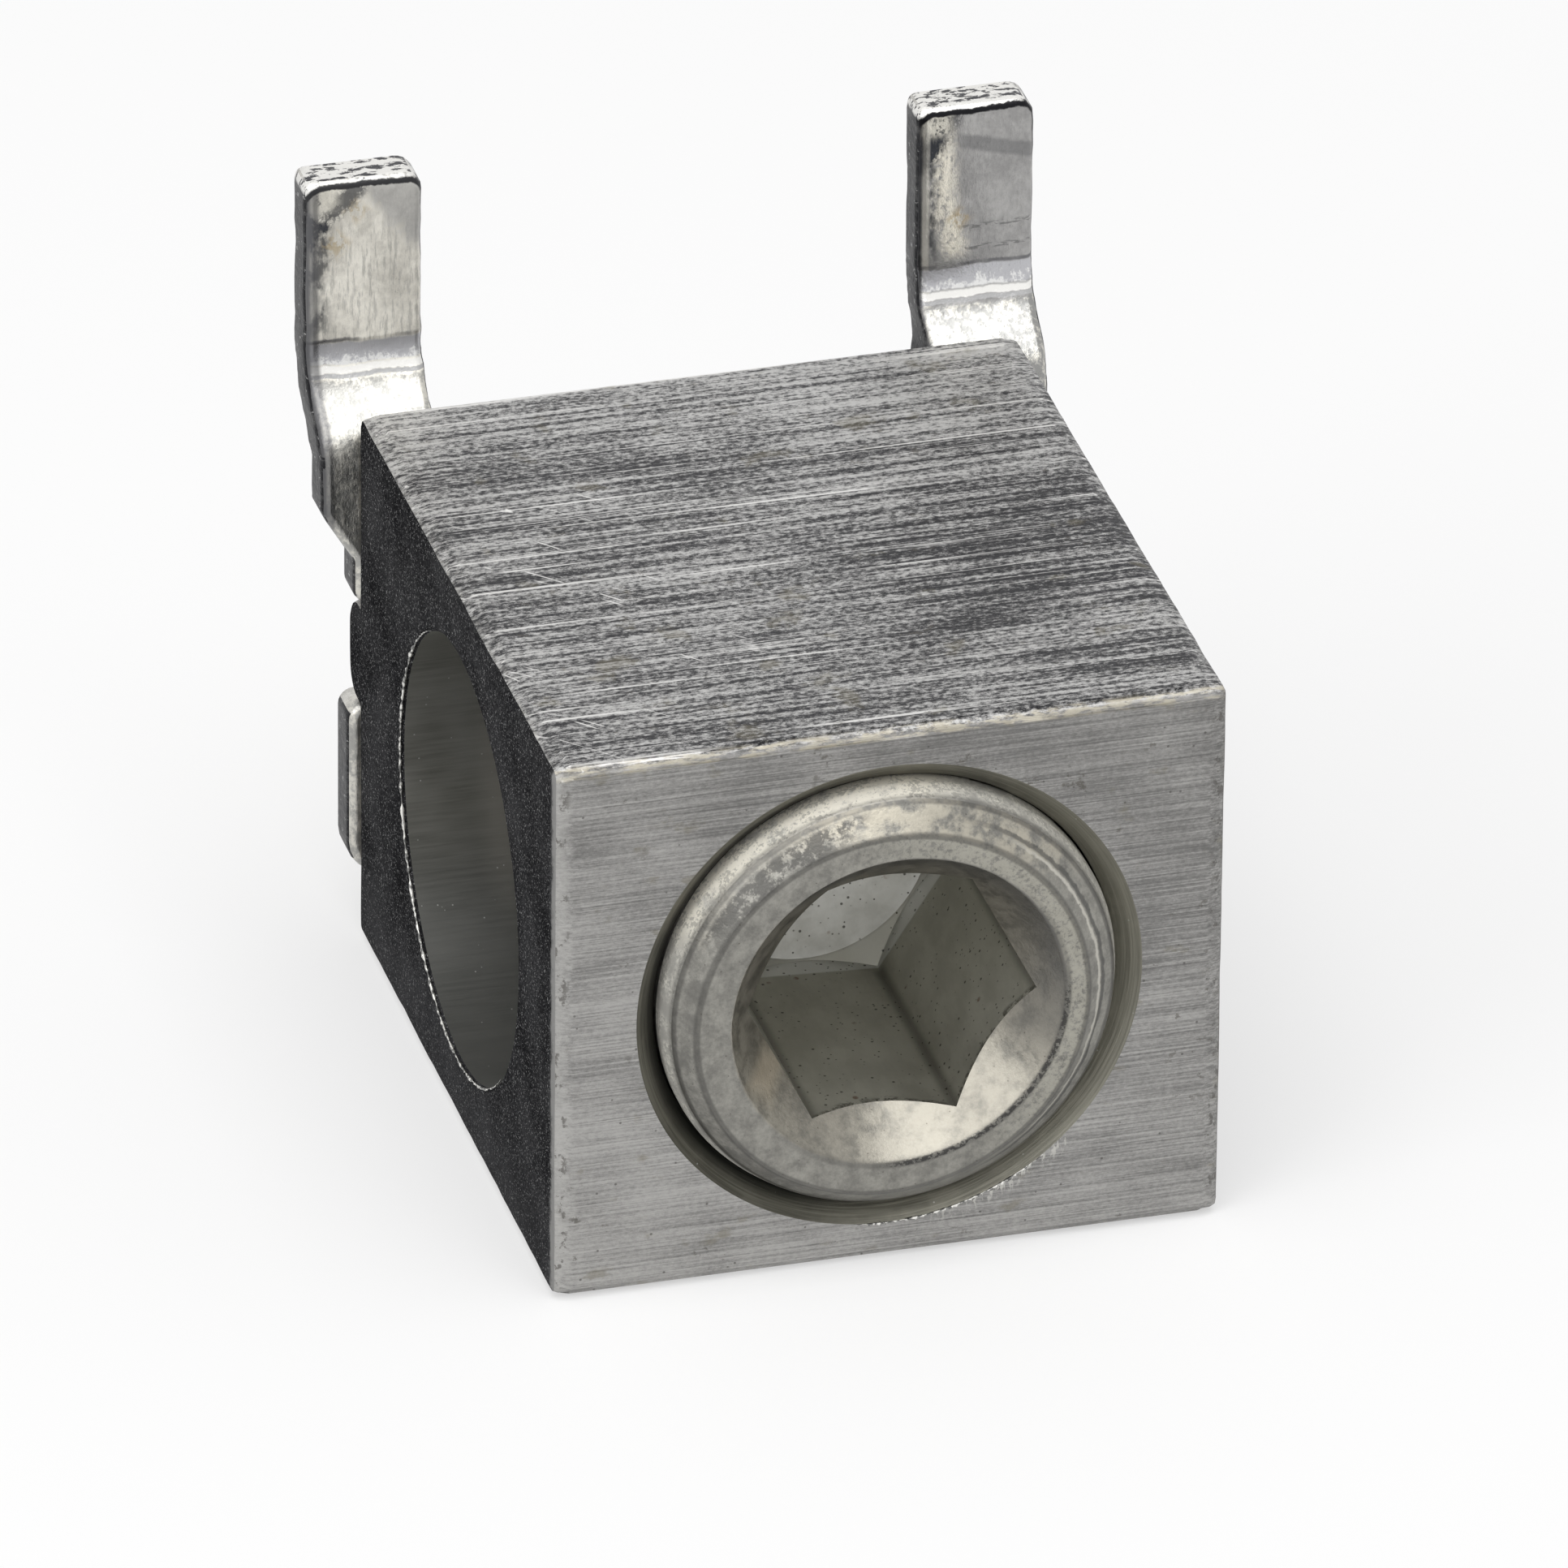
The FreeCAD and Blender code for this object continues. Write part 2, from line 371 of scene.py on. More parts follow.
def rise(value, low, high):
    """A smooth step from 0 at low to 1 at high. It falls where low is above high."""
    return value.node("MapRange", {"interpolation_type": "SMOOTHSTEP"}, {0: value, 1: low, 2: high})


def distance(first, second):
    """How far a place lies from an axis, from its two offsets."""
    return first.math("POWER", first * first + second * second, 0.5)


def mixed(amount, below, above):
    """The colour below where amount is 0 and the colour above where it is 1."""
    colours = [colour if isinstance(colour, Socket) else (*colour, 1) for colour in (below, above)]
    return amount.node("Mix", {"data_type": "RGBA"}, {0: amount, 6: colours[0], 7: colours[1]}, 2)


def clouds(place, stretch, detail=3.0, roughness=0.55):
    """Random value about 0.5. Stretch is how many lumps lie in a millimetre along X, Y and Z."""
    scaled = place.node("VectorMath", {"operation": "MULTIPLY"}, {0: place, 1: stretch})
    inputs = {"Vector": scaled, "Scale": 1.0, "Detail": detail, "Roughness": roughness}
    return place.node("TexNoise", {}, inputs)


def specks(place, per_mm, size):
    """1 in small round specks, about that many to the millimetre."""
    scaled = place.node("VectorMath", {"operation": "MULTIPLY"}, {0: place, 1: (per_mm,) * 3})
    away = place.node("TexVoronoi", {}, {"Vector": scaled, "Scale": 1.0, "Randomness": 1.0})
    return rise(away, size, size * 0.5)


def start_finish(name):
    """A new finish: its material, its shader, and X, Y, Z and the place in millimetres."""
    material = bpy.data.materials.new(name)
    material.use_nodes = True
    tree = material.node_tree
    metres = Socket(tree, tree.nodes.new("ShaderNodeTexCoord").outputs["Object"])
    place = metres.node("VectorMath", {"operation": "MULTIPLY"}, {0: metres, 1: (1 / MM,) * 3})
    x, y, z = [place.node("SeparateXYZ", {}, {0: place}, axis) for axis in range(3)]
    return material, tree.nodes["Principled BSDF"], place, x, y, z


def finish_with(shader, colour, roughness, metallic, height, strength):
    """Links the looks to the shader. Height is in twentieths of a millimetre."""
    tree = colour.tree
    tree.links.new(colour.output, shader.inputs["Base Color"])
    tree.links.new(roughness.output, shader.inputs["Roughness"])
    if isinstance(metallic, Socket):
        tree.links.new(metallic.output, shader.inputs["Metallic"])
    else:
        shader.inputs["Metallic"].default_value = metallic
    bump = colour.node("Bump", {}, {"Height": height, "Strength": strength, "Distance": 0.05 * MM})
    tree.links.new(bump.output, shader.inputs["Normal"])


# Finish of the long faces as they left the die: fine lines along X, pits and scratches. The top
# is darker and more streaked than the front, and its corners are rubbed bright.
extruded_finish, shader, place, x, y, z = start_finish("extruded_aluminium")
on_top = rise(z, BODY_HEIGHT - 0.35, BODY_HEIGHT - 0.1)
fine_lines = clouds(place, (0.10, 11.0, 11.0), 4.0, 0.8)
top_lines = clouds(place, (0.06, 5.0, 5.0), 5.0, 0.8)
long_streaks = clouds(place, (0.06, 3.2, 3.2), 4.0, 0.6)
blotches = clouds(place, (0.25, 0.35, 0.35), 3.0)
pits = clouds(place, (5.0, 9.0, 9.0), 5.0, 0.8)
top_pits = clouds(place, (3.5, 6.0, 6.0), 6.0, 0.8)
scratches = rise(abs(clouds(place, (0.015, 2.5, 2.5), 1.0) - 0.5), 0.022, 0.007)
scratches = scratches * rise(clouds(place, (0.08, 1.4, 1.4), 2.0), 0.50, 0.60)
turned_place = place.node("VectorRotate", {"rotation_type": "Z_AXIS"}, {"Vector": place, "Angle": 0.8})
cross_scratches = rise(abs(clouds(turned_place, (0.05, 1.1, 1.1), 0.0) - 0.5), 0.012, 0.004)
cross_scratches = cross_scratches * rise(clouds(place, (0.5, 0.5, 0.5), 2.0), 0.54, 0.60)
cross_scratches = cross_scratches * rise(x, -2.0, -5.0) * rise(y, 7.5, 6.0)
front_tone = 0.5 + 1.5 * (fine_lines - 0.5) + 0.6 * (blotches - 0.5) + 0.3 * (long_streaks - 0.5)
front_tone = front_tone + 0.9 * (pits - 0.5) - 0.005 * x - 0.009 * (z - 11.0)
dark_side = rise(x, -2.0, 9.0) * rise(abs(y + 2.5), 7.0, 1.0)
top_tone = 0.39 + 2.3 * (top_lines - 0.5) + 1.2 * (long_streaks - 0.5) + 3.2 * (top_pits - 0.5)
top_tone = top_tone + 0.6 * (blotches - 0.5) - 0.17 * dark_side + 0.18 * rise(y, 6.0, 13.0)
front_colour = mixed(rise(front_tone, 0.05, 0.95), (0.15, 0.148, 0.143), (0.44, 0.432, 0.417))
top_colour = mixed(rise(top_tone, 0.05, 0.9), (0.022, 0.022, 0.025), (0.54, 0.535, 0.525))
top_colour = mixed((scratches + cross_scratches) * 0.8, top_colour, (0.84, 0.83, 0.81))
colour = mixed(on_top, front_colour, top_colour)
near_mouth = rise(distance(x, z - AXIS_Z), HOLE_MOUTH_RADIUS + 0.7, HOLE_MOUTH_RADIUS + 0.1)
tool_strokes = rise(clouds(place, (5.0, 5.0, 1.5), 3.0, 0.7), 0.52, 0.60) * near_mouth
tool_strokes = tool_strokes * rise(z, 5.0, 3.6) * rise(x, 1.0, 3.0)
colour = mixed(tool_strokes * 0.8, colour, (0.60, 0.59, 0.55))
colour = mixed(specks(place, 1.3, 0.085) * 0.7, colour, (0.08, 0.075, 0.07))
stains = rise(clouds(place, (0.5, 0.5, 0.8), 4.0, 0.6), 0.60, 0.70)
colour = mixed(stains * 0.4, colour, (0.17, 0.152, 0.10))
spots = rise(clouds(place, (1.0, 1.3, 1.3), 5.0, 0.75), 0.61, 0.66)
spots = spots * rise(clouds(place, (0.3, 0.3, 0.3), 2.0), 0.45, 0.60)
colour = mixed(spots * 0.6, colour, (0.09, 0.082, 0.068))
rub = rise(clouds(place, (0.8, 3.0, 3.0), 4.0, 0.7), 0.44, 0.58)
off_edge = abs(z - (BODY_HEIGHT - 0.2)) + abs(y - (FRONT_Y + 0.15))
colour = mixed(rise(off_edge, 0.44, 0.22) * rub * 0.7, colour, (0.48, 0.445, 0.36))
torn_edge = rise(x, -half_length + 0.35, -half_length + 0.05) * on_top
torn_edge = torn_edge * rise(clouds(place, (4.0, 4.0, 4.0), 4.0, 0.7), 0.50, 0.58)
colour = mixed(torn_edge * 0.6, colour, (0.52, 0.51, 0.48))
from_end = 1.3 * (clouds(place, (1.0, 1.0, 0.6), 4.0, 0.7) - 0.5) - x
end_rim = rise(from_end, half_length - 0.8, half_length - 0.2) * rise(y, FRONT_Y + 0.3, FRONT_Y + 0.15)
colour = mixed(end_rim * 0.5, colour, (0.47, 0.463, 0.445))
nicks = rise(clouds(place, (2.0, 2.0, 1.6), 4.0, 0.7), 0.56, 0.62)
nicks = nicks * rise(abs(x), half_length - 0.7, half_length - 0.35)
colour = mixed(nicks * (1.0 - on_top) * 0.7, colour, (0.10, 0.094, 0.085))
roughness = 0.42 + 0.25 * (fine_lines - 0.5) + 0.1 * (blotches - 0.5)
finish_with(shader, colour, roughness, 0.8, fine_lines + 0.7 * pits, 0.5)

# Finish of the sawn ends: dull and dark, partly from the sawn surface and partly painted shade, full
# of fine grains with painted glints, and with a paler worn front edge.
sawn_finish, shader, place, x, y, z = start_finish("sawn_aluminium")
grains = clouds(place, (6.0, 6.0, 6.0), 5.0, 0.75)
patches = clouds(place, (0.3, 0.3, 0.3), 2.0)
# Painted shade: the grains are coloured near black, so that the sawn end stays dark.
colour = mixed(rise(grains + 0.5 * (patches - 0.5), 0.3, 0.7), (0.010, 0.010, 0.011), (0.046, 0.046, 0.048))
# Painted glints: bright grains that stand for light caught by the sawn face.
painted_glints = rise(clouds(place, (11.0, 11.0, 11.0), 2.0, 0.8), 0.60, 0.68)
colour = mixed(painted_glints * 0.9, colour, (0.36, 0.36, 0.36))
colour = mixed(rise(z, 5.0, 0.0) * 0.3, colour, (0.085, 0.085, 0.088))
front_wear = rise(y, FRONT_Y + 0.85, FRONT_Y + 0.1)
front_wear = front_wear * rise(clouds(place, (2.0, 2.0, 1.2), 4.0, 0.7), 0.36, 0.56)
colour = mixed(front_wear * 0.8, colour, (0.15, 0.15, 0.15))
ragged_y = y - 0.8 * (clouds(place, (1.2, 1.2, 1.2), 4.0, 0.7) - 0.5)
edge_wear = rise(ragged_y, FRONT_Y + 0.6, FRONT_Y + 0.3)
colour = mixed(edge_wear * 0.85, colour, (0.30, 0.298, 0.29))
roughness = 0.55 + 0.2 * (grains - 0.5)
finish_with(shader, colour, roughness, 0.0, grains, 0.9)
shader.inputs["Specular IOR Level"].default_value = 0.0

# Finish inside the wire bore: dark olive oxide with faint lines along the bore and bright specks.
bore_finish, shader, place, x, y, z = start_finish("bore_aluminium")
lines = clouds(place, (0.4, 9.0, 9.0), 4.0)
cloudy = clouds(place, (0.25, 0.25, 0.25), 2.0)
colour = mixed(rise(lines, 0.2, 0.8), (0.150, 0.150, 0.132), (0.205, 0.203, 0.182))
colour = mixed(rise(cloudy, 0.4, 0.65) * 0.5, colour, (0.29, 0.288, 0.265))
colour = mixed(rise(z, 9.5, 4.5) * 0.6, colour, (0.095, 0.098, 0.095))
pale_band = rise(abs(x + 8.6), 1.6, 0.3) * rise(abs(z - 9.5), 6.0, 1.0)
colour = mixed(pale_band * 0.55, colour, (0.32, 0.305, 0.27))
colour = mixed(specks(place, 2.2, 0.08), colour, (0.46, 0.46, 0.44))
finish_with(shader, colour, 0.45 + 0.2 * (lines - 0.5), 0.6, lines, 0.1)

# Finish of the drilled and tapped hole: olive grey, with fine rings left by the tool, painted light on
# its right side and painted shade low on its left and in the gap beside the screw.
turned_finish, shader, place, x, y, z = start_finish("turned_aluminium")
rings = clouds(place, (0.3, 16.0, 0.3), 2.0)
smears = clouds(place, (0.8, 0.8, 0.8), 3.0)
colour = mixed(rise(rings, 0.3, 0.7), (0.12, 0.117, 0.095), (0.24, 0.234, 0.195))
colour = mixed(rise(smears, 0.45, 0.75) * 0.6, colour, (0.28, 0.27, 0.225))
colour = mixed(specks(place, 1.6, 0.07), colour, (0.5, 0.5, 0.47))
# Painted light: paler on the right side of the hole.
colour = mixed(rise(x, 2.0, 7.0) * 0.4, colour, (0.36, 0.35, 0.295))
# Painted shade: darker low on the left, and near black a little way in on the left, in the gap beside the
# screw.
colour = mixed(rise(x, 1.0, -4.0) * rise(z, 11.0, 6.0) * 0.35, colour, (0.07, 0.068, 0.055))
in_hole = rise(y, FRONT_Y + 0.2, FRONT_Y + 0.7)
colour = mixed(in_hole * rise(x, 1.0, -4.0) * 0.8, colour, (0.02, 0.02, 0.018))
finish_with(shader, colour, 0.42 + 0.2 * (rings - 0.5), 0.7, rings, 0.25)


def coat(made, finishes, finish_at):
    """Gives each face the finish for its middle, in millimetres, and its normal."""
    made.data.materials.clear()
    for finish in finishes:
        made.data.materials.append(finish)
    for polygon in made.data.polygons:
        polygon.material_index = finishes.index(finish_at(polygon.center / MM, polygon.normal))


def body_finish(middle, normal):
    """The finish of a face of the body: sawn, bored, turned or as it left the die."""
    up = middle.z - AXIS_Z
    from_bore = math.hypot(middle.y - BORE_Y, up)
    from_screw = math.hypot(middle.x, up)
    faces_bore = normal.y * (middle.y - BORE_Y) + normal.z * up < -0.97 * from_bore
    if abs(normal.x) > 0.6 and abs(middle.x) > half_length - 0.2:
        return sawn_finish
    if abs(from_bore - BORE_RADIUS) < 0.25 and (faces_bore or from_screw > HOLE_RADIUS - 0.05):
        return bore_finish
    if from_screw < HOLE_MOUTH_RADIUS + 0.1 and FRONT_Y + 0.001 < middle.y < HOLE_END_Y + 0.1:
        return turned_finish
    return extruded_finish


coat(lug_body, [extruded_finish, sawn_finish, bore_finish, turned_finish], body_finish)
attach(lug_body, "lug")
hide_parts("lug_body")

# Burrs: the thin torn rims that the saw left round the back of the bore's mouth, and that the
# bevelling tool left under the screw.
BURR_STEPS = 240
BURR_SIDES = 6
BURR_THICKNESS = 0.045
BURR_THINNEST = 0.01
BURR_END_THICKNESS = 0.004


def burr(name, centre, radius, start_deg, end_deg, plane):
    """A thin ragged wire of metal along an arc, in the YZ or the XZ plane."""
    rings = []
    for step in range(BURR_STEPS + 1):
        degrees = start_deg + (end_deg - start_deg) * step / BURR_STEPS
        turn = math.radians(degrees)
        lump = grain(degrees * 0.35, 3.1, 0, 1.0)
        fine = grain(degrees * 1.3, 7.7, 0, 1.0)
        ends = min(1, 8 * step / BURR_STEPS, 8 * (1 - step / BURR_STEPS))
        thick = max(BURR_THINNEST, BURR_THICKNESS + 0.06 * lump + 0.05 * fine)
        thick = thick * ends + BURR_END_THICKNESS
        out = radius + 0.03 * fine + 0.02 * lump
        ring = []
        for corner in range(BURR_SIDES):
            swing = 2 * math.pi * corner / BURR_SIDES
            r = out + thick * math.cos(swing)
            lift = thick * math.sin(swing)
            across = r * math.cos(turn)
            z = centre[2] + r * math.sin(turn)
            if plane == "YZ":
                ring.append((centre[0] + lift, centre[1] + across, z))
            else:
                ring.append((centre[0] + across, centre[1] + lift, z))
        rings.append(ring)
    made = piece(name, *closed(*skin(rings)))
    smooth(made, 60)
    return made


bore_burr = burr("bore_mouth_burr", (-half_length, BORE_Y, AXIS_Z), BORE_RADIUS + 0.03, -136, 62, "YZ")
hole_burr = burr("hole_mouth_burr", (0, FRONT_Y, AXIS_Z), HOLE_MOUTH_RADIUS + 0.02, -98, -52, "XZ")
burr_finish, shader, place, x, y, z = start_finish("torn_aluminium")
flecks = clouds(place, (4.0, 4.0, 4.0), 3.0)
colour = mixed(rise(flecks, 0.44, 0.58), (0.14, 0.14, 0.135), (0.80, 0.79, 0.75))
finish_with(shader, colour, 0.35 + 0.2 * (flecks - 0.5), 0.9, flecks, 0.3)
for made in (bore_burr, hole_burr):
    made.data.materials.append(burr_finish)
    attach(made, "lug")

# Set screw: a turned and threaded blank with a bevelled end and a countersunk hexagon socket,
# punched with a nosed tool, then tin plated. Its end was turned a little off centre.
END_Y = -15.5
MOUTH_RADIUS = 6.37
MOUTH_LIP = (0.03, 0.006)
RING_RADIUS = 7.42
OFF_CENTRE = (-0.22, -0.12)
SHOULDER_RADIUS = 8.40
SHOULDER_Y = -14.65
SHOULDER_ROUND = 0.1
CREST_RADIUS = 8.66
CREST_Y = -13.9
CREST_HALF = 0.099
ROOT_RADIUS = 7.80
ROOT_HALF = 0.198
THREAD_FADE = (-13.55, -12.95)
SCREW_JOIN_Y = -14.3
TIP_Y = 0.375
TIP_BEVEL = 1.4
HEX_APOTHEM = 4.7625
COUNTERSINK_SLOPE = math.tan(math.radians(41))
HEX_END_Y = -3.73
NOSE_RADIUS = 4.7025
NOSE_Y = -2.83
POINT_Y = -2.03

# The blunt start of its groove: its place, its form and the angles over which it fades.
START_GROOVE_Y = -15.07
START_RADIUS = 7.76
START_SLOPE = 1.5
START_RISE = 1.2
START_FADE_IN = (80, 45)
START_FADE_OUT = (-48, -15)

# Its rows of points, from the middle of the socket's floor to the bevel outside.
FLOOR_RADII = (0.3, 1.5, 3.0, 4.2, 4.62)
WALL_ROWS = 14
COUNTERSINK_PARTS = (0, 0.06, 0.25, 0.5, 0.75, 0.94, 0.985)
RING_PARTS = (0.08, 0.35, 0.65, 0.93)
BEVEL_ROWS = 30


def off_centre(angle):
    """How much further out the ring lies at an angle, because it was turned off centre."""
    return OFF_CENTRE[0] * math.cos(angle) + OFF_CENTRE[1] * math.sin(angle)


def fitted(value, low, high):
    """A smooth step from 0 at low to 1 at high, for numbers."""
    part = min(max((value - low) / (high - low), 0), 1)
    return part * part * (3 - 2 * part)


def screw_radius(y, clockwise):
    """Radius of the screw's outside: its bevel, its lead with the blunt start of a groove, its thread."""
    angle = THREAD_TURN - clockwise
    along = (y - END_Y) / (SHOULDER_Y - END_Y)
    bevel = RING_RADIUS + off_centre(angle) + (SHOULDER_RADIUS - RING_RADIUS - off_centre(angle)) * along
    lead = SHOULDER_RADIUS + (CREST_RADIUS - SHOULDER_RADIUS) * (y - SHOULDER_Y) / (CREST_Y - SHOULDER_Y)
    overlap = max(SHOULDER_ROUND - abs(bevel - lead), 0)
    outside = min(bevel, lead) - overlap * overlap / (4 * SHOULDER_ROUND)
    degrees = (math.degrees(angle) + 180) % 360 - 180
    start = fitted(degrees, *START_FADE_IN) * fitted(degrees, *START_FADE_OUT)
    groove = START_GROOVE_Y - PITCH * (degrees - TURN_DEGREES) / 360
    flank = START_RADIUS + START_SLOPE * abs(y - groove) + START_RISE * (1 - start)
    tip = CREST_RADIUS - (y - (TIP_Y - TIP_BEVEL))
    thread = thread_radius(y, clockwise, CREST_RADIUS, ROOT_RADIUS, CREST_HALF, ROOT_HALF, THREAD_FADE)
    return min(outside, flank, thread, tip)


def hexagon(angle):
    """Distance from the axis to the socket's wall."""
    from_flat = (angle - THREAD_TURN) % math.radians(60) - math.radians(30)
    return HEX_APOTHEM / math.cos(from_flat)


turns = [2 * math.pi * step / STEPS for step in range(STEPS)]
screw_rows = []


def add_row(radius_at, y_at):
    """A ring of points on the screw. Both its radius and its place may depend on the angle."""
    row = []
    for clockwise in turns:
        angle = THREAD_TURN - clockwise
        radius = radius_at(angle)
        row.append((radius * math.cos(angle), y_at(angle), AXIS_Z + radius * math.sin(angle)))
    screw_rows.append(row)


def wall_top(angle):
    """Y at which the socket's wall meets its countersunk mouth."""
    return END_Y + (MOUTH_RADIUS - hexagon(angle)) / COUNTERSINK_SLOPE


def wall_bottom(angle):
    """Y at which the socket's wall meets its nosed floor."""
    corner = HEX_APOTHEM / math.cos(math.radians(30))
    return HEX_END_Y + (corner - hexagon(angle)) * (NOSE_Y - HEX_END_Y) / (corner - NOSE_RADIUS)


for radius in FLOOR_RADII:
    add_row(lambda angle: radius, lambda angle: POINT_Y + (NOSE_Y - POINT_Y) * radius / NOSE_RADIUS)
add_row(lambda angle: NOSE_RADIUS, lambda angle: NOSE_Y)
add_row(hexagon, wall_bottom)
for row in range(1, WALL_ROWS):
    add_row(
        hexagon,
        lambda angle: wall_bottom(angle) + (wall_top(angle) - wall_bottom(angle)) * row / WALL_ROWS,
    )
for part in COUNTERSINK_PARTS:
    add_row(
        lambda angle: hexagon(angle) + (MOUTH_RADIUS - hexagon(angle)) * part,
        lambda angle: wall_top(angle) + (END_Y - wall_top(angle)) * part,
    )
add_row(lambda angle: MOUTH_RADIUS + MOUTH_LIP[0], lambda angle: END_Y + MOUTH_LIP[1])
for part in RING_PARTS:
    add_row(
        lambda angle: MOUTH_RADIUS + (RING_RADIUS + off_centre(angle) - MOUTH_RADIUS) * part,
        lambda angle: END_Y,
    )
for row in range(1, BEVEL_ROWS + 1):
    row_y = END_Y + (SCREW_JOIN_Y - END_Y) * row / BEVEL_ROWS
    add_row(lambda angle: screw_radius(row_y, THREAD_TURN - angle), lambda angle: row_y)
end_points, end_faces = skin(screw_rows)
rod_points, rod_faces = threaded_skin(SCREW_JOIN_Y, TIP_Y, screw_radius)
joined_faces = end_faces + [tuple(len(end_points) + corner for corner in face) for face in rod_faces]
set_screw = piece("socket_set_screw", *closed(end_points + rod_points, joined_faces))
smooth(set_screw)

# Finish of the screw's plated end: mottled warm grey, paler where its flat ring is rubbed, with painted
# cream highlights on its bevels and its lead, and painted shade as soft dark lines where the bevels meet.
MOUTH_LINE = 6.42
RING_LINE = 7.44
RIM_LINE = 8.36
START_LINE = 7.86
START_GLINT = 7.68
end_finish, shader, place, x, y, z = start_finish("screw_tin_plate")
up = z - AXIS_Z
from_axis = distance(x, up)
from_off = distance(x - OFF_CENTRE[0], up - OFF_CENTRE[1])
mottle = clouds(place, (1.3, 1.3, 1.3), 5.0, 0.65)
fine = clouds(place, (7.0, 7.0, 7.0), 4.0, 0.65)
tone = 0.5 + 1.1 * (mottle - 0.5) + 0.6 * (fine - 0.5)
colour = mixed(rise(tone, 0.15, 0.85), (0.17, 0.166, 0.152), (0.34, 0.332, 0.30))
on_bevels = rise(from_off, RING_RADIUS - 0.02, RING_RADIUS + 0.08)
in_mouth = rise(from_axis, MOUTH_RADIUS + 0.05, MOUTH_RADIUS - 0.07)
on_lead = rise(from_axis, SHOULDER_RADIUS - 0.02, SHOULDER_RADIUS + 0.02)
on_ring = rise(from_axis, MOUTH_RADIUS - 0.02, MOUTH_RADIUS + 0.08) * (1.0 - on_bevels)
rubbed_ring = on_ring * rise(x + 0.4 * up, -1.0, 6.0) * rise(fine, 0.35, 0.55)
colour = mixed(rubbed_ring * 0.6, colour, (0.42, 0.405, 0.345))
tarnish = clouds(place, (0.9, 0.9, 0.9), 5.0, 0.7)
dull_tin = on_bevels * rise(tarnish, 0.44, 0.56) * rise(x, 2.0, -3.0)
colour = mixed(dull_tin * 0.45, colour, (0.13, 0.127, 0.118))
up_left = 0.82 * up - 0.57 * x
# Painted highlight: cream on the top and upper left of the bevels, where the lamp overhead catches them.
painted_cream_highlight = rise(up + 0.25 * x, 5.8, 7.4) + 0.25 * rise(up_left, 6.3, 7.6) * rise(from_off, 7.8, 7.95)
colour = mixed(on_bevels * painted_cream_highlight * rise(mottle, 0.38, 0.58) * 0.6, colour, (0.52, 0.48, 0.39))
# Painted shade: dark patches on the bevel's upper left, dimming its reflection there.
bevel_painted_shade = rise(up_left, 6.7, 7.5) * rise(x, 0.0, -2.0) * rise(from_axis, 8.25, 8.1)
bevel_painted_shade = bevel_painted_shade * rise(tarnish + 0.5 * (fine - 0.5), 0.40, 0.54)
colour = mixed(on_bevels * bevel_painted_shade * 0.85, colour, (0.085, 0.083, 0.078))
mouth_tin = mixed(rise(mottle, 0.3, 0.6), (0.205, 0.194, 0.163), (0.385, 0.355, 0.292))
colour = mixed(in_mouth * 0.5, colour, mouth_tin)
mouth_shade = in_mouth * rise(from_axis, 5.3, 6.2) * rise(up + 0.5 * x, 0.5, 5.0)
colour = mixed(mouth_shade * 0.6, colour, (0.10, 0.102, 0.105))
# Painted shade: a darker grey reflection on the right side of the countersink.
painted_side_shade = in_mouth * rise(x, 3.5, 5.5) * rise(up, -3.5, -1.5)
colour = mixed(painted_side_shade * 0.42, colour, (0.14, 0.138, 0.13))
warm_spot = in_mouth * rise(abs(x + 4.7) + abs(up + 2.5), 1.5, 0.3)
colour = mixed(warm_spot * 0.7, colour, (0.60, 0.53, 0.42))
# Painted light: the lead is coloured far paler than the rest of the tin, as if lit, with a painted highlight
# at its upper left.
lead_painted_light = mixed(rise(mottle, 0.35, 0.65), (0.44, 0.43, 0.40), (0.82, 0.80, 0.73))
lead_painted_highlight = rise(0.90 * up - 0.44 * x, 5.8, 7.4) * rise(tarnish, 0.30, 0.50)
lead_painted_light = mixed(lead_painted_highlight, lead_painted_light, (0.95, 0.91, 0.80))
lead_dirt = rise(fine + 0.9 * (mottle - 0.5), 0.50, 0.62)
lead_painted_light = mixed(lead_dirt * 0.55, lead_painted_light, (0.24, 0.235, 0.22))
colour = mixed(on_lead * 0.9, colour, lead_painted_light)
# Painted shade: soft dark lines round the mouth, between the ring and the bevel and at the bevel's rim.
on_end = rise(y, CREST_Y, CREST_Y - 0.5)
line_width = 0.11 + 0.08 * (mottle - 0.5)
inner_line = rise(abs(from_off - RING_LINE) - line_width, 0.06, -0.05)
outer_line = rise(abs(from_axis - RIM_LINE) - line_width, 0.04, -0.05)
outer_line = outer_line * rise(y, SHOULDER_Y - 0.3, SHOULDER_Y - 0.1)
off_mouth = abs(from_axis - MOUTH_LINE) - line_width
mouth_line = rise(off_mouth, 0.10, -0.06) * rise(x - up, -3.0, 4.0)
lines = on_end * (inner_line * 0.6 + outer_line * 0.6 + mouth_line * 0.4)
colour = mixed(lines, colour, (0.075, 0.073, 0.068))
dirt_dots = rise(off_mouth, 0.04, -0.05) * rise(fine, 0.44, 0.52) * rise(x - up, 5.0, 7.0)
colour = mixed(dirt_dots * 0.85, colour, (0.035, 0.034, 0.034))
# Painted shade and a painted glint: a dark line and a bright line beside the blunt start of the groove.
wander = 0.3 * (mottle - 0.5)
start_painted_shade = rise(abs(from_axis - START_LINE + wander), 0.11, 0.04) * rise(x, 1.5, 5.0)
start_painted_glint = rise(abs(from_axis - START_GLINT + wander), 0.08, 0.02) * rise(x, 3.5, 6.0)
colour = mixed(start_painted_shade * on_bevels * 0.7, colour, (0.07, 0.07, 0.068))
colour = mixed(start_painted_glint * on_bevels * 0.7, colour, (0.60, 0.58, 0.52))
colour = mixed(specks(place, 2.3, 0.09) * 0.6, colour, (0.07, 0.06, 0.05))
roughness = 0.36 + 0.25 * (mottle - 0.5) + 0.1 * (fine - 0.5)
finish_with(shader, colour, roughness, 0.85 - 0.65 * on_lead, mottle + 0.5 * fine, 0.35)
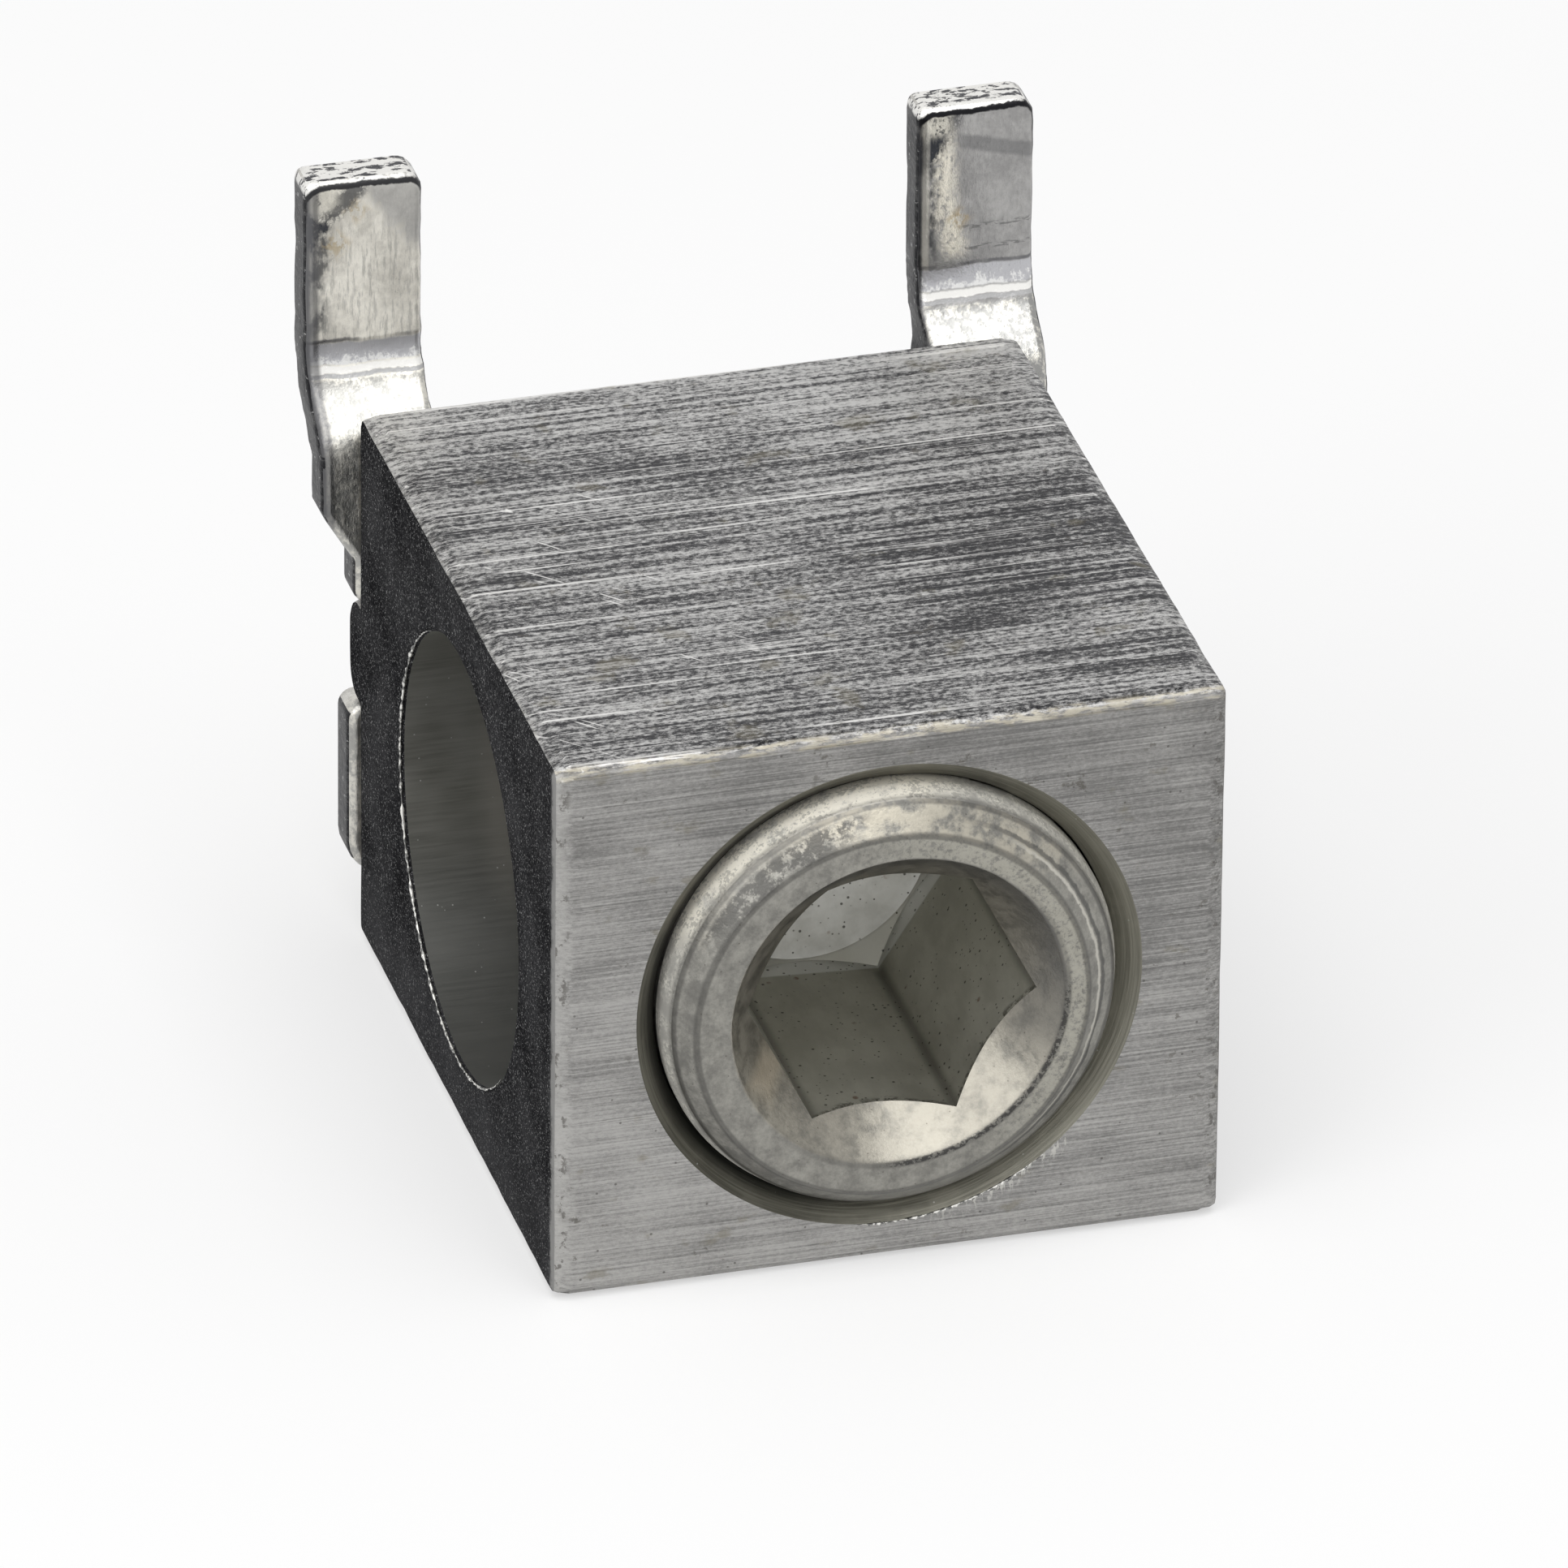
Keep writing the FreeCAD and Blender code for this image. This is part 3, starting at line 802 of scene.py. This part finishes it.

# Finish inside the socket: olive grey, with black and rusty specks, painted shade along the corners and a
# painted highlight round the edge of its floor.
socket_finish, shader, place, x, y, z = start_finish("socket_tin_plate")
mottle = clouds(place, (0.9, 0.5, 0.9), 4.0, 0.6)
drawn_lines = clouds(place, (3.0, 0.6, 3.0), 3.0, 0.6)
colour = mixed(rise(mottle, 0.3, 0.7), (0.44, 0.43, 0.375), (0.55, 0.54, 0.475))
walls_round = x.math("ARCTAN2", z - AXIS_Z, x) * (3 / math.pi) - THREAD_TURN * 3 / math.pi + 6.5
from_corner = abs(walls_round.math("FRACT", walls_round) - 0.5)
from_axis = distance(x, z - AXIS_Z)
# Painted shade: a dark line down each corner of the socket's walls.
corner_painted_shade = rise(from_corner, 0.065, 0.005) * rise(y, -3.9, -4.3)
colour = mixed(corner_painted_shade * 0.55, colour, (0.10, 0.095, 0.08))
on_floor = rise(y, -3.95, -3.8)
floor_tin = mixed(rise(mottle, 0.3, 0.7), (0.50, 0.50, 0.48), (0.64, 0.64, 0.62))
colour = mixed(on_floor, colour, floor_tin)
# Painted highlight: a thin bright ring at the edge of the nosed floor.
colour = mixed(on_floor * rise(from_axis, 4.66, 4.78), colour, (0.80, 0.80, 0.77))
colour = mixed(specks(place, 1.9, 0.14) * 0.8, colour, (0.03, 0.026, 0.02))
colour = mixed(specks(place, 3.4, 0.17) * rise(mottle, 0.40, 0.52) * 0.85, colour, (0.04, 0.035, 0.028))
in_from_mouth = y + 8.17 + 1.151 * from_axis
grime = rise(in_from_mouth - 0.8 * (mottle - 0.5), 0.35, 0.08)
grime = grime * rise(clouds(place, (2.5, 2.5, 2.5), 4.0, 0.7), 0.44, 0.54)
colour = mixed(grime * rise(y, -12.0, -12.6) * 0.7, colour, (0.06, 0.052, 0.04))
rust = specks(place, 0.8, 0.12) * rise(mottle, 0.45, 0.6)
colour = mixed(rust * 0.7, colour, (0.16, 0.07, 0.035))
finish_with(shader, colour, 0.40 + 0.2 * (mottle - 0.5), 0.9, mottle + 0.4 * drawn_lines, 0.3)

# Finish of the thread: the same tin, darker in patches down in the grooves.
thread_finish, shader, place, x, y, z = start_finish("thread_tin_plate")
from_axis = distance(x, z - AXIS_Z)
groove_darkening = rise(from_axis, 8.5, 7.9) * rise(clouds(place, (1.0, 1.0, 1.0), 3.0), 0.3, 0.6)
mottle = clouds(place, (2.0, 2.0, 2.0), 4.0)
colour = mixed(rise(mottle, 0.3, 0.7), (0.24, 0.235, 0.22), (0.38, 0.37, 0.34))
colour = mixed(groove_darkening * 0.7, colour, (0.05, 0.05, 0.045))
finish_with(shader, colour, 0.38 + 0.2 * (mottle - 0.5), 0.95, mottle, 0.3)


def screw_finish(middle, normal):
    """The finish of a face of the screw: in its socket, on its thread or on its end."""
    from_screw = math.hypot(middle.x, middle.z - AXIS_Z)
    on_wall = abs(normal.y) < 0.2 and from_screw < 5.55
    if on_wall or (from_screw < 5.6 and -6 < middle.y < 0):
        return socket_finish
    if middle.y > -13.2:
        return thread_finish
    return end_finish


coat(set_screw, [end_finish, socket_finish, thread_finish], screw_finish)
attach(set_screw, "screw")
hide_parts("set_screw")

# Terminal strap: copper sheet blanked to a foot, a notched neck and two tangs, joggled back above
# the body, then tin plated bright. The blanking rolled its front edges over and tore its sides.
SHEET = 1.6
STRAP_BOTTOM = 2.3
STRAP_TOP = 30.6
FOOT_HALF = 13.1
FOOT_CORNER = 1.5
NECK_HALF = 9.0
NOTCH_BOTTOM = RIB_BOTTOM - 0.05
NOTCH_TOP = RIB_TOP + 0.05
SHOULDER_HALF = 12.85
FLARE_BOTTOM = 15.85
FLARE_TOP = 17.95
SIDE_CORNER = 0.6
TANG_IN = 9.525
TANG_OUT = 14.125
RIGHT_CORNER = 0.8
LEFT_CORNER = 0.4
CROTCH_Z = 19.5
CROTCH_CORNER = 2.0
BEND = math.radians(50)
JOGGLE_BOTTOM = 19.61
JOGGLE_TOP = 23.9
JOGGLE_OUT = 2.5
LOWER_BEND_Y = 16.3
UPPER_BEND_Y = 14.1
FRONT_ROLL = 0.38
BACK_EDGE = 0.06


def bent(z, flat_y):
    """Y of the joggled sheet's front or back at a height."""
    low = LOWER_BEND_Y - flat_y
    high = flat_y + JOGGLE_OUT - UPPER_BEND_Y
    low_end = JOGGLE_BOTTOM + low * math.sin(BEND)
    high_start = JOGGLE_TOP - high * math.sin(BEND)
    if z <= JOGGLE_BOTTOM:
        return flat_y
    if z <= low_end:
        return LOWER_BEND_Y - math.sqrt(low * low - (z - JOGGLE_BOTTOM) ** 2)
    if z <= high_start:
        return LOWER_BEND_Y - low * math.cos(BEND) + (z - low_end) * math.tan(BEND)
    if z <= JOGGLE_TOP:
        return UPPER_BEND_Y + math.sqrt(high * high - (JOGGLE_TOP - z) ** 2)
    return flat_y + JOGGLE_OUT


strap_outline = rounded([
    (FOOT_HALF, STRAP_BOTTOM, FOOT_CORNER),
    (FOOT_HALF, NOTCH_BOTTOM, SIDE_CORNER),
    (NECK_HALF, NOTCH_BOTTOM, 0),
    (NECK_HALF, NOTCH_TOP, 0),
    (SHOULDER_HALF, NOTCH_TOP, SIDE_CORNER),
    (SHOULDER_HALF, FLARE_BOTTOM, SIDE_CORNER),
    (TANG_OUT, FLARE_TOP, SIDE_CORNER),
    (TANG_OUT, STRAP_TOP, RIGHT_CORNER),
    (TANG_IN, STRAP_TOP, LEFT_CORNER),
    (TANG_IN, CROTCH_Z, CROTCH_CORNER),
    (-TANG_IN, CROTCH_Z, CROTCH_CORNER),
    (-TANG_IN, STRAP_TOP, RIGHT_CORNER),
    (-TANG_OUT, STRAP_TOP, LEFT_CORNER),
    (-TANG_OUT, FLARE_TOP, SIDE_CORNER),
    (-SHOULDER_HALF, FLARE_BOTTOM, SIDE_CORNER),
    (-SHOULDER_HALF, NOTCH_TOP, SIDE_CORNER),
    (-NECK_HALF, NOTCH_TOP, 0),
    (-NECK_HALF, NOTCH_BOTTOM, 0),
    (-FOOT_HALF, NOTCH_BOTTOM, SIDE_CORNER),
    (-FOOT_HALF, STRAP_BOTTOM, FOOT_CORNER),
])
bm = bmesh.new()
bm.faces.new([bm.verts.new((x, 0, z)) for x, z in strap_outline])
raised = bmesh.ops.extrude_face_region(bm, geom=bm.faces[:])
for item in raised["geom"]:
    if isinstance(item, bmesh.types.BMVert):
        item.co.y = SHEET
for depth, offset, segments in ((0, FRONT_ROLL, 5), (SHEET, BACK_EDGE, 2)):
    rim = [edge for edge in bm.edges if all(abs(vert.co.y - depth) < 1e-6 for vert in edge.verts)]
    bmesh.ops.bevel(bm, geom=rim, offset=offset, segments=segments, profile=0.5, affect="EDGES")
levels = [3.5 + step for step in range(16)]
levels += [JOGGLE_BOTTOM + 0.14 * step for step in range(32)]
levels += [24.5 + 0.5 * step for step in range(12)]
for level in levels:
    bmesh.ops.bisect_plane(
        bm, geom=bm.verts[:] + bm.edges[:] + bm.faces[:], plane_co=(0, 0, level), plane_no=(0, 0, 1)
    )

# Tears along the sides and the tops of the tangs, and then the joggle.
TANG_MIDDLE = (TANG_IN + TANG_OUT) / 2
TANG_HALF = (TANG_OUT - TANG_IN) / 2
TORN_SIDE = 0.35
TORN_SIDE_Z = 17
TORN_TOP = 0.45
for vert in bm.verts:
    x, depth, z = vert.co
    wave = 0.10 * abs(grain(x, depth * 0.5, z, 1.6)) + 0.05 * abs(grain(x, depth, z, 0.5))
    across = x - math.copysign(TANG_MIDDLE, x)
    if z > TORN_SIDE_Z and abs(abs(across) - TANG_HALF) < TORN_SIDE:
        vert.co.x -= math.copysign(wave, across)
    if z > STRAP_TOP - TORN_TOP:
        vert.co.z -= 0.4 * wave * (1 - depth / SHEET)
    front = bent(z, BACK_Y)
    vert.co.y = front + (bent(z, BACK_Y + SHEET) - front) * depth / SHEET
bmesh.ops.recalc_face_normals(bm, faces=bm.faces)
bm.verts.index_update()
terminal_strap = piece(
    "joggled_terminal_strap",
    [vert.co.copy() for vert in bm.verts],
    [tuple(vert.index for vert in face.verts) for face in bm.faces],
)
bm.free()
smooth(terminal_strap, 40)


def beyond(value, limit):
    """How far a value lies beyond a limit, and 0 short of it."""
    past = value - limit
    return past.math("MAXIMUM", past, 0.0)


# Finish of the strap's faces: bright tin, mottled cream and grey. On the front the left tang is rough and
# the right one smooth, with dark blotches and stains, painted reflection bands where the joggle starts,
# painted shade down the joggle, and painted highlights and dark reflections along the rolled edges.
plate_finish, shader, place, x, y, z = start_finish("strap_tin_plate")
mottle = clouds(place, (0.55, 0.55, 0.40), 4.0, 0.6)
fine = clouds(place, (4.0, 4.0, 3.0), 5.0, 0.7)
drift = clouds(place, (0.5, 0.5, 0.25), 3.0, 0.6)
brushed = clouds(place, (6.0, 6.0, 0.8), 4.0, 0.7)
on_left = rise(x, 1.0, -1.0)
sheet_middle = BACK_Y + SHEET / 2 + JOGGLE_OUT * rise(z, 19.4, 23.5)
on_front = rise(y - sheet_middle, 0.35, -0.35)
across = x - TANG_MIDDLE + on_left * (2 * TANG_MIDDLE)
below_bend = JOGGLE_TOP - z - 0.35 * (mottle - 0.5) - 0.12 * (fine - 0.5)

back_tone = 0.5 + 0.9 * (mottle - 0.5) + 0.7 * (brushed - 0.5) + 0.5 * (fine - 0.5)
back_tin = mixed(rise(back_tone, 0.2, 0.8), (0.40, 0.39, 0.365), (0.64, 0.625, 0.585))
back_rubs = rise(clouds(place, (0.2, 0.2, 0.9), 5.0, 0.65), 0.50, 0.70)
back_tin = mixed(back_rubs * 0.35, back_tin, (0.74, 0.725, 0.685))
back_stains = rise(clouds(place, (0.3, 0.3, 0.3), 4.0, 0.6), 0.58, 0.68)
back_tin = mixed(back_stains * 0.35, back_tin, (0.34, 0.28, 0.17))

tone = 0.5 + 1.2 * (mottle - 0.5) + 0.8 * (fine - 0.5)
right_tin = mixed(rise(tone, 0.2, 0.8), (0.28, 0.276, 0.272), (0.43, 0.425, 0.415))
streak_edge = abs(across + 1.5 - 0.1 * (30.0 - z) + 1.2 * (drift - 0.5) + 1.5 * (fine - 0.5))
cream_streak = rise(streak_edge, 0.80, 0.10) * rise(z, 24.0, 24.6) * rise(z, 30.3, 29.6)
right_tin = mixed(cream_streak * rise(fine, 0.3, 0.5), right_tin, (0.80, 0.76, 0.66))
grey_band = rise(abs(z - 29.0 + 0.28 * across + 0.5 * (mottle - 0.5)), 0.42, 0.20) * rise(across, -1.1, -0.3)
right_tin = mixed(grey_band * 0.5, right_tin, (0.13, 0.13, 0.135))

left_tin = mixed(rise(tone, 0.2, 0.8), (0.66, 0.635, 0.57), (1.0, 0.97, 0.88))
left_tin = mixed(rise(brushed, 0.50, 0.64) * rise(z, 30.0, 27.5) * 0.5, left_tin, (0.34, 0.335, 0.315))
blue_edge = across + 0.5 * (z - 27.9) + 2.5 * (drift - 0.5) + 1.5 * (mottle - 0.5) + 0.8 * (fine - 0.5)
blue_corner = rise(blue_edge, 1.0, 1.6) * rise(z + 1.5 * (mottle - 0.5), 27.2, 28.0)
left_tin = mixed(blue_corner * 0.55, left_tin, (0.30, 0.305, 0.32))

front_tin = mixed(on_left, right_tin, left_tin)
# Painted highlight: a cream patch at the top-left corner of each tang.
corner_painted_highlight = rise(z, 29.2, 29.7) * rise(across, -0.7, -1.3) * rise(fine, 0.36, 0.50)
# Painted highlight: a thin cream line along the rolled left edge of the right tang.
left_edge_painted_highlight = rise(abs(across + 1.95), 0.20, 0.08) * rise(drift, 0.25, 0.45) * (1.0 - on_left)
by_left = rise(across + 1.2 * (mottle - 0.5), -1.2, -1.7) * rise(z, 23.0, 25.0)
blotch = by_left * rise(clouds(place, (1.2, 1.2, 0.7), 4.0, 0.65), 0.42, 0.58)
slant = across + 1.25 - 0.65 * on_left + (0.5 + 0.36 * on_left) * (30.0 - z)
slant_edge = abs(slant) + 1.8 * abs(mottle - 0.5) + 2.5 * abs(fine - 0.5)
blotch = blotch + rise(slant_edge, 0.95, 0.45) * rise(z, 27.6, 28.4)
front_tin = mixed(blotch * 0.85, front_tin, (0.05, 0.053, 0.06))
front_tin = mixed(corner_painted_highlight * 0.8, front_tin, (0.78, 0.75, 0.66))
front_tin = mixed(left_edge_painted_highlight * 0.7, front_tin, (0.62, 0.60, 0.54))
scratch_bed = clouds(place, (1.5, 1.5, 7.0), 3.0, 0.7)
scratch_rows = rise(abs(z - 25.5 + 0.3 * (drift - 0.5)), 0.16, 0.05) + rise(abs(z - 24.6), 0.16, 0.05)
scratch_rows = scratch_rows * rise(scratch_bed, 0.48, 0.56) * rise(x, 11.0, 11.6)
front_tin = mixed(scratch_rows * 0.6, front_tin, (0.10, 0.10, 0.10))
stain = rise(abs(across + 0.65 - 0.35 * on_left) + abs(z - 25.9 - 3.4 * on_left), 0.8, 0.1)
stain = stain + on_left * rise(abs(across + 1.05) + abs(z - 28.0), 0.9, 0.2)
front_tin = mixed(stain * rise(fine, 0.44, 0.56) * 0.6, front_tin, (0.42, 0.31, 0.14))

# Painted reflections: grey, white and thin grey bands across the bend at the top of the joggle.
bend_grey = rise(below_bend, 0.0, 0.15) * rise(below_bend, 0.95, 0.85)
bend_white = rise(below_bend, 0.9, 1.0) * rise(below_bend, 1.24, 1.18)
thin_grey = rise(below_bend, 1.20, 1.25) * rise(below_bend, 1.40, 1.35)
bend_spots = rise(fine + 0.35 * (below_bend - 0.5), 0.52, 0.66)
front_tin = mixed(bend_grey, front_tin, mixed(bend_spots, (0.50, 0.50, 0.52), (0.80, 0.80, 0.79)))
front_tin = mixed(bend_white, front_tin, (0.90, 0.89, 0.86))
front_tin = mixed(thin_grey, front_tin, (0.46, 0.46, 0.46))
# Painted shade: the joggle below the bands is greyer and mottled.
joggle_painted_shade = mixed(rise(fine + 0.6 * (mottle - 0.5), 0.42, 0.62), (0.30, 0.30, 0.29), (0.66, 0.64, 0.58))
joggle_painted_shade = mixed(on_left * 0.2, joggle_painted_shade, (0.30, 0.30, 0.29))
front_tin = mixed(rise(below_bend, 1.4, 1.5) * 0.85, front_tin, joggle_painted_shade)
# Painted shade: a dark line where the bend at the top of the joggle starts.
bend_line = rise(abs(below_bend + 0.02), 0.12, 0.03) * rise(drift, 0.30, 0.55)
front_tin = mixed(bend_line * 0.8, front_tin, (0.10, 0.10, 0.11))
# Painted dark reflection along the rolled left edge of each tang, wider on the left tang.
front_tin = mixed(rise(across, -2.0, -2.15) * 0.85, front_tin, (0.05, 0.05, 0.055))
front_tin = mixed(on_left * rise(across, -1.65, -1.85) * 0.75, front_tin, (0.11, 0.11, 0.115))
# Painted highlight and painted dark reflection along the rolled top edge of each tang: a bright band with a
# dark line inside it.
past_side = beyond(abs(across), TANG_HALF - 0.7)
past_top = beyond(z, STRAP_TOP - 0.9)
reach = distance(past_side, past_top)
reach = reach + 0.30 * (mottle - 0.5) + 0.15 * (fine - 0.5)
roll_painted_highlight = rise(reach, 0.72, 0.78) * rise(z, 29.7, 30.1) * rise(fine, 0.38, 0.46)
front_tin = mixed(roll_painted_highlight, front_tin, (0.80, 0.79, 0.76))
rolled = rise(abs(reach - 0.67), 0.14, 0.07) * rise(y, 17.2, 17.05) * rise(z, 28.4, 29.6)
front_tin = mixed(rolled, front_tin, (0.018, 0.018, 0.020))

colour = mixed(on_front, back_tin, front_tin)
roughness = 0.22 + 0.2 * (mottle - 0.5) + 0.15 * (fine - 0.5) + 0.1 * on_left * on_front
metallic = 1.0 - 0.6 * on_left * on_front * rise(below_bend, 0.0, -0.1)
finish_with(shader, colour, roughness, metallic, mottle * 2 + fine + 0.5 * brushed, 0.4)

# Finish of its sheared sides, torn and dark, partly from the torn surface and partly painted shade, with
# painted glints, and of its top edges, painted bright where they face up, with dark tears.
sheared_finish, shader, place, x, y, z = start_finish("sheared_tin_plate")
tears = clouds(place, (2.0, 1.2, 3.0), 4.0, 0.7)
colour = mixed(rise(tears, 0.48, 0.68), (0.012, 0.012, 0.014), (0.075, 0.075, 0.075))
top_tears = clouds(place, (1.5, 3.5, 1.5), 4.0, 0.7)
glints = rise(clouds(place, (2.5, 2.5, 4.0), 4.0, 0.75), 0.60, 0.66)
colour = mixed(glints * 0.7, colour, (0.42, 0.42, 0.415))
# Painted highlight: the top edges, which face up, get a bright copy of the torn finish.
painted_lit_top = mixed(rise(top_tears, 0.50, 0.56), (0.80, 0.79, 0.76), (0.07, 0.07, 0.075))
at_top = rise(z, STRAP_TOP - 0.5, STRAP_TOP - 0.3)
colour = mixed(at_top, colour, painted_lit_top)
roughness = 0.35 + 0.3 * (tears - 0.5)
finish_with(shader, colour, roughness, 0.15 + 0.8 * at_top, tears + top_tears, 0.8)
shader.inputs["Specular IOR Level"].default_value = 0.1


def strap_finish(middle, normal):
    """The finish of a face of the strap: sheared at its sides and its tops, or as plated."""
    on_top_edge = abs(normal.z) > 0.9 and middle.z > 30
    return sheared_finish if abs(normal.x) > 0.8 or on_top_edge else plate_finish


coat(terminal_strap, [plate_finish, sheared_finish], strap_finish)
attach(terminal_strap, "lug")
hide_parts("terminal_strap")

# Camera: where the photograph was taken from, with a long lens, above and to the left of the
# screw's driven end.
CAMERA_PLACE = (-0.214455, -0.764201, 0.456950)
camera = bpy.data.objects.new("camera", bpy.data.cameras.new("camera"))
bpy.context.scene.collection.objects.link(camera)
forward = Vector((0.2356, 0.83998857, -0.48878609)).normalized()
right = Vector((0.96399741, -0.26579473, 0.00788331))
right = (right - forward * right.dot(forward)).normalized()
up = right.cross(forward)
camera.matrix_world = Matrix((
    (right.x, up.x, -forward.x, CAMERA_PLACE[0]),
    (right.y, up.y, -forward.y, CAMERA_PLACE[1]),
    (right.z, up.z, -forward.z, CAMERA_PLACE[2]),
    (0, 0, 0, 1),
))
camera.data.sensor_width = 36
camera.data.lens = 564.18
camera.data.clip_start = 0.05
camera.data.clip_end = 20
bpy.context.scene.camera = camera

# Floor and light: a plain pale floor in an even pale room, a broad soft lamp overhead and a
# second one to the front left.
FLOOR_REACH = 1500
FLOOR_Z = -0.1
WHITE = (1, 1, 1, 1)
LAMP_AIM = Vector((0, 0, 0.01))


def seen(tree):
    """1 where the camera sees a surface itself, mirrored or through glass."""
    ray_kinds = tree.nodes.new("ShaderNodeLightPath").outputs
    rays = Socket(tree, ray_kinds["Is Camera Ray"]) + Socket(tree, ray_kinds["Is Glossy Ray"])
    return rise(rays + Socket(tree, ray_kinds["Is Transmission Ray"]), 0.2, 0.8)


corners = [(-1, -1), (1, -1), (1, 1), (-1, 1)]
floor_points = [(FLOOR_REACH * x, FLOOR_REACH * y, FLOOR_Z) for x, y in corners]
floor = piece("floor", floor_points, [(0, 1, 2, 3)])
floor_finish = bpy.data.materials.new("pale_floor")
floor_finish.use_nodes = True
tree = floor_finish.node_tree
shader = tree.nodes["Principled BSDF"]
shader.inputs["Base Color"].default_value = (0.95, 0.95, 0.95, 1)
shader.inputs["Roughness"].default_value = 0.9
floor_seen = seen(tree)
white = floor_seen.node("Emission", {}, {"Color": WHITE, "Strength": 1.0})
lit = floor_seen.node("MixShader", {}, {0: floor_seen * 0.5, 1: Socket(tree, shader.outputs[0]), 2: white})
tree.links.new(lit.output, tree.nodes["Material Output"].inputs["Surface"])
floor.data.materials.append(floor_finish)


def lamp(name, place, size, power):
    """A square soft lamp that faces the lug."""
    light = bpy.data.lights.new(name, "AREA")
    light.size = size
    light.energy = power
    holder = bpy.data.objects.new(name, light)
    holder.location = place
    holder.rotation_euler = (LAMP_AIM - Vector(place)).to_track_quat("-Z", "Y").to_euler()
    bpy.context.scene.collection.objects.link(holder)


lamp("overhead_lamp", (-0.05, -0.28, 0.80), 0.75, 4.4)
lamp("left_lamp", (-0.75, -0.40, 0.55), 0.55, 2.2)
world = bpy.data.worlds.new("room")
bpy.context.scene.world = world
world.use_nodes = True
tree = world.node_tree
room_light = tree.nodes["Background"]
room_light.inputs["Color"].default_value = WHITE
room_light.inputs["Strength"].default_value = 0.45
room_seen = seen(tree)
backdrop = room_seen.node("Background", {}, {"Color": WHITE, "Strength": 1.0})
chosen = room_seen.node("MixShader", {}, {0: room_seen, 1: Socket(tree, room_light.outputs[0]), 2: backdrop})
tree.links.new(chosen.output, tree.nodes["World Output"].inputs["Surface"])
bpy.context.scene.view_settings.view_transform = "Standard"
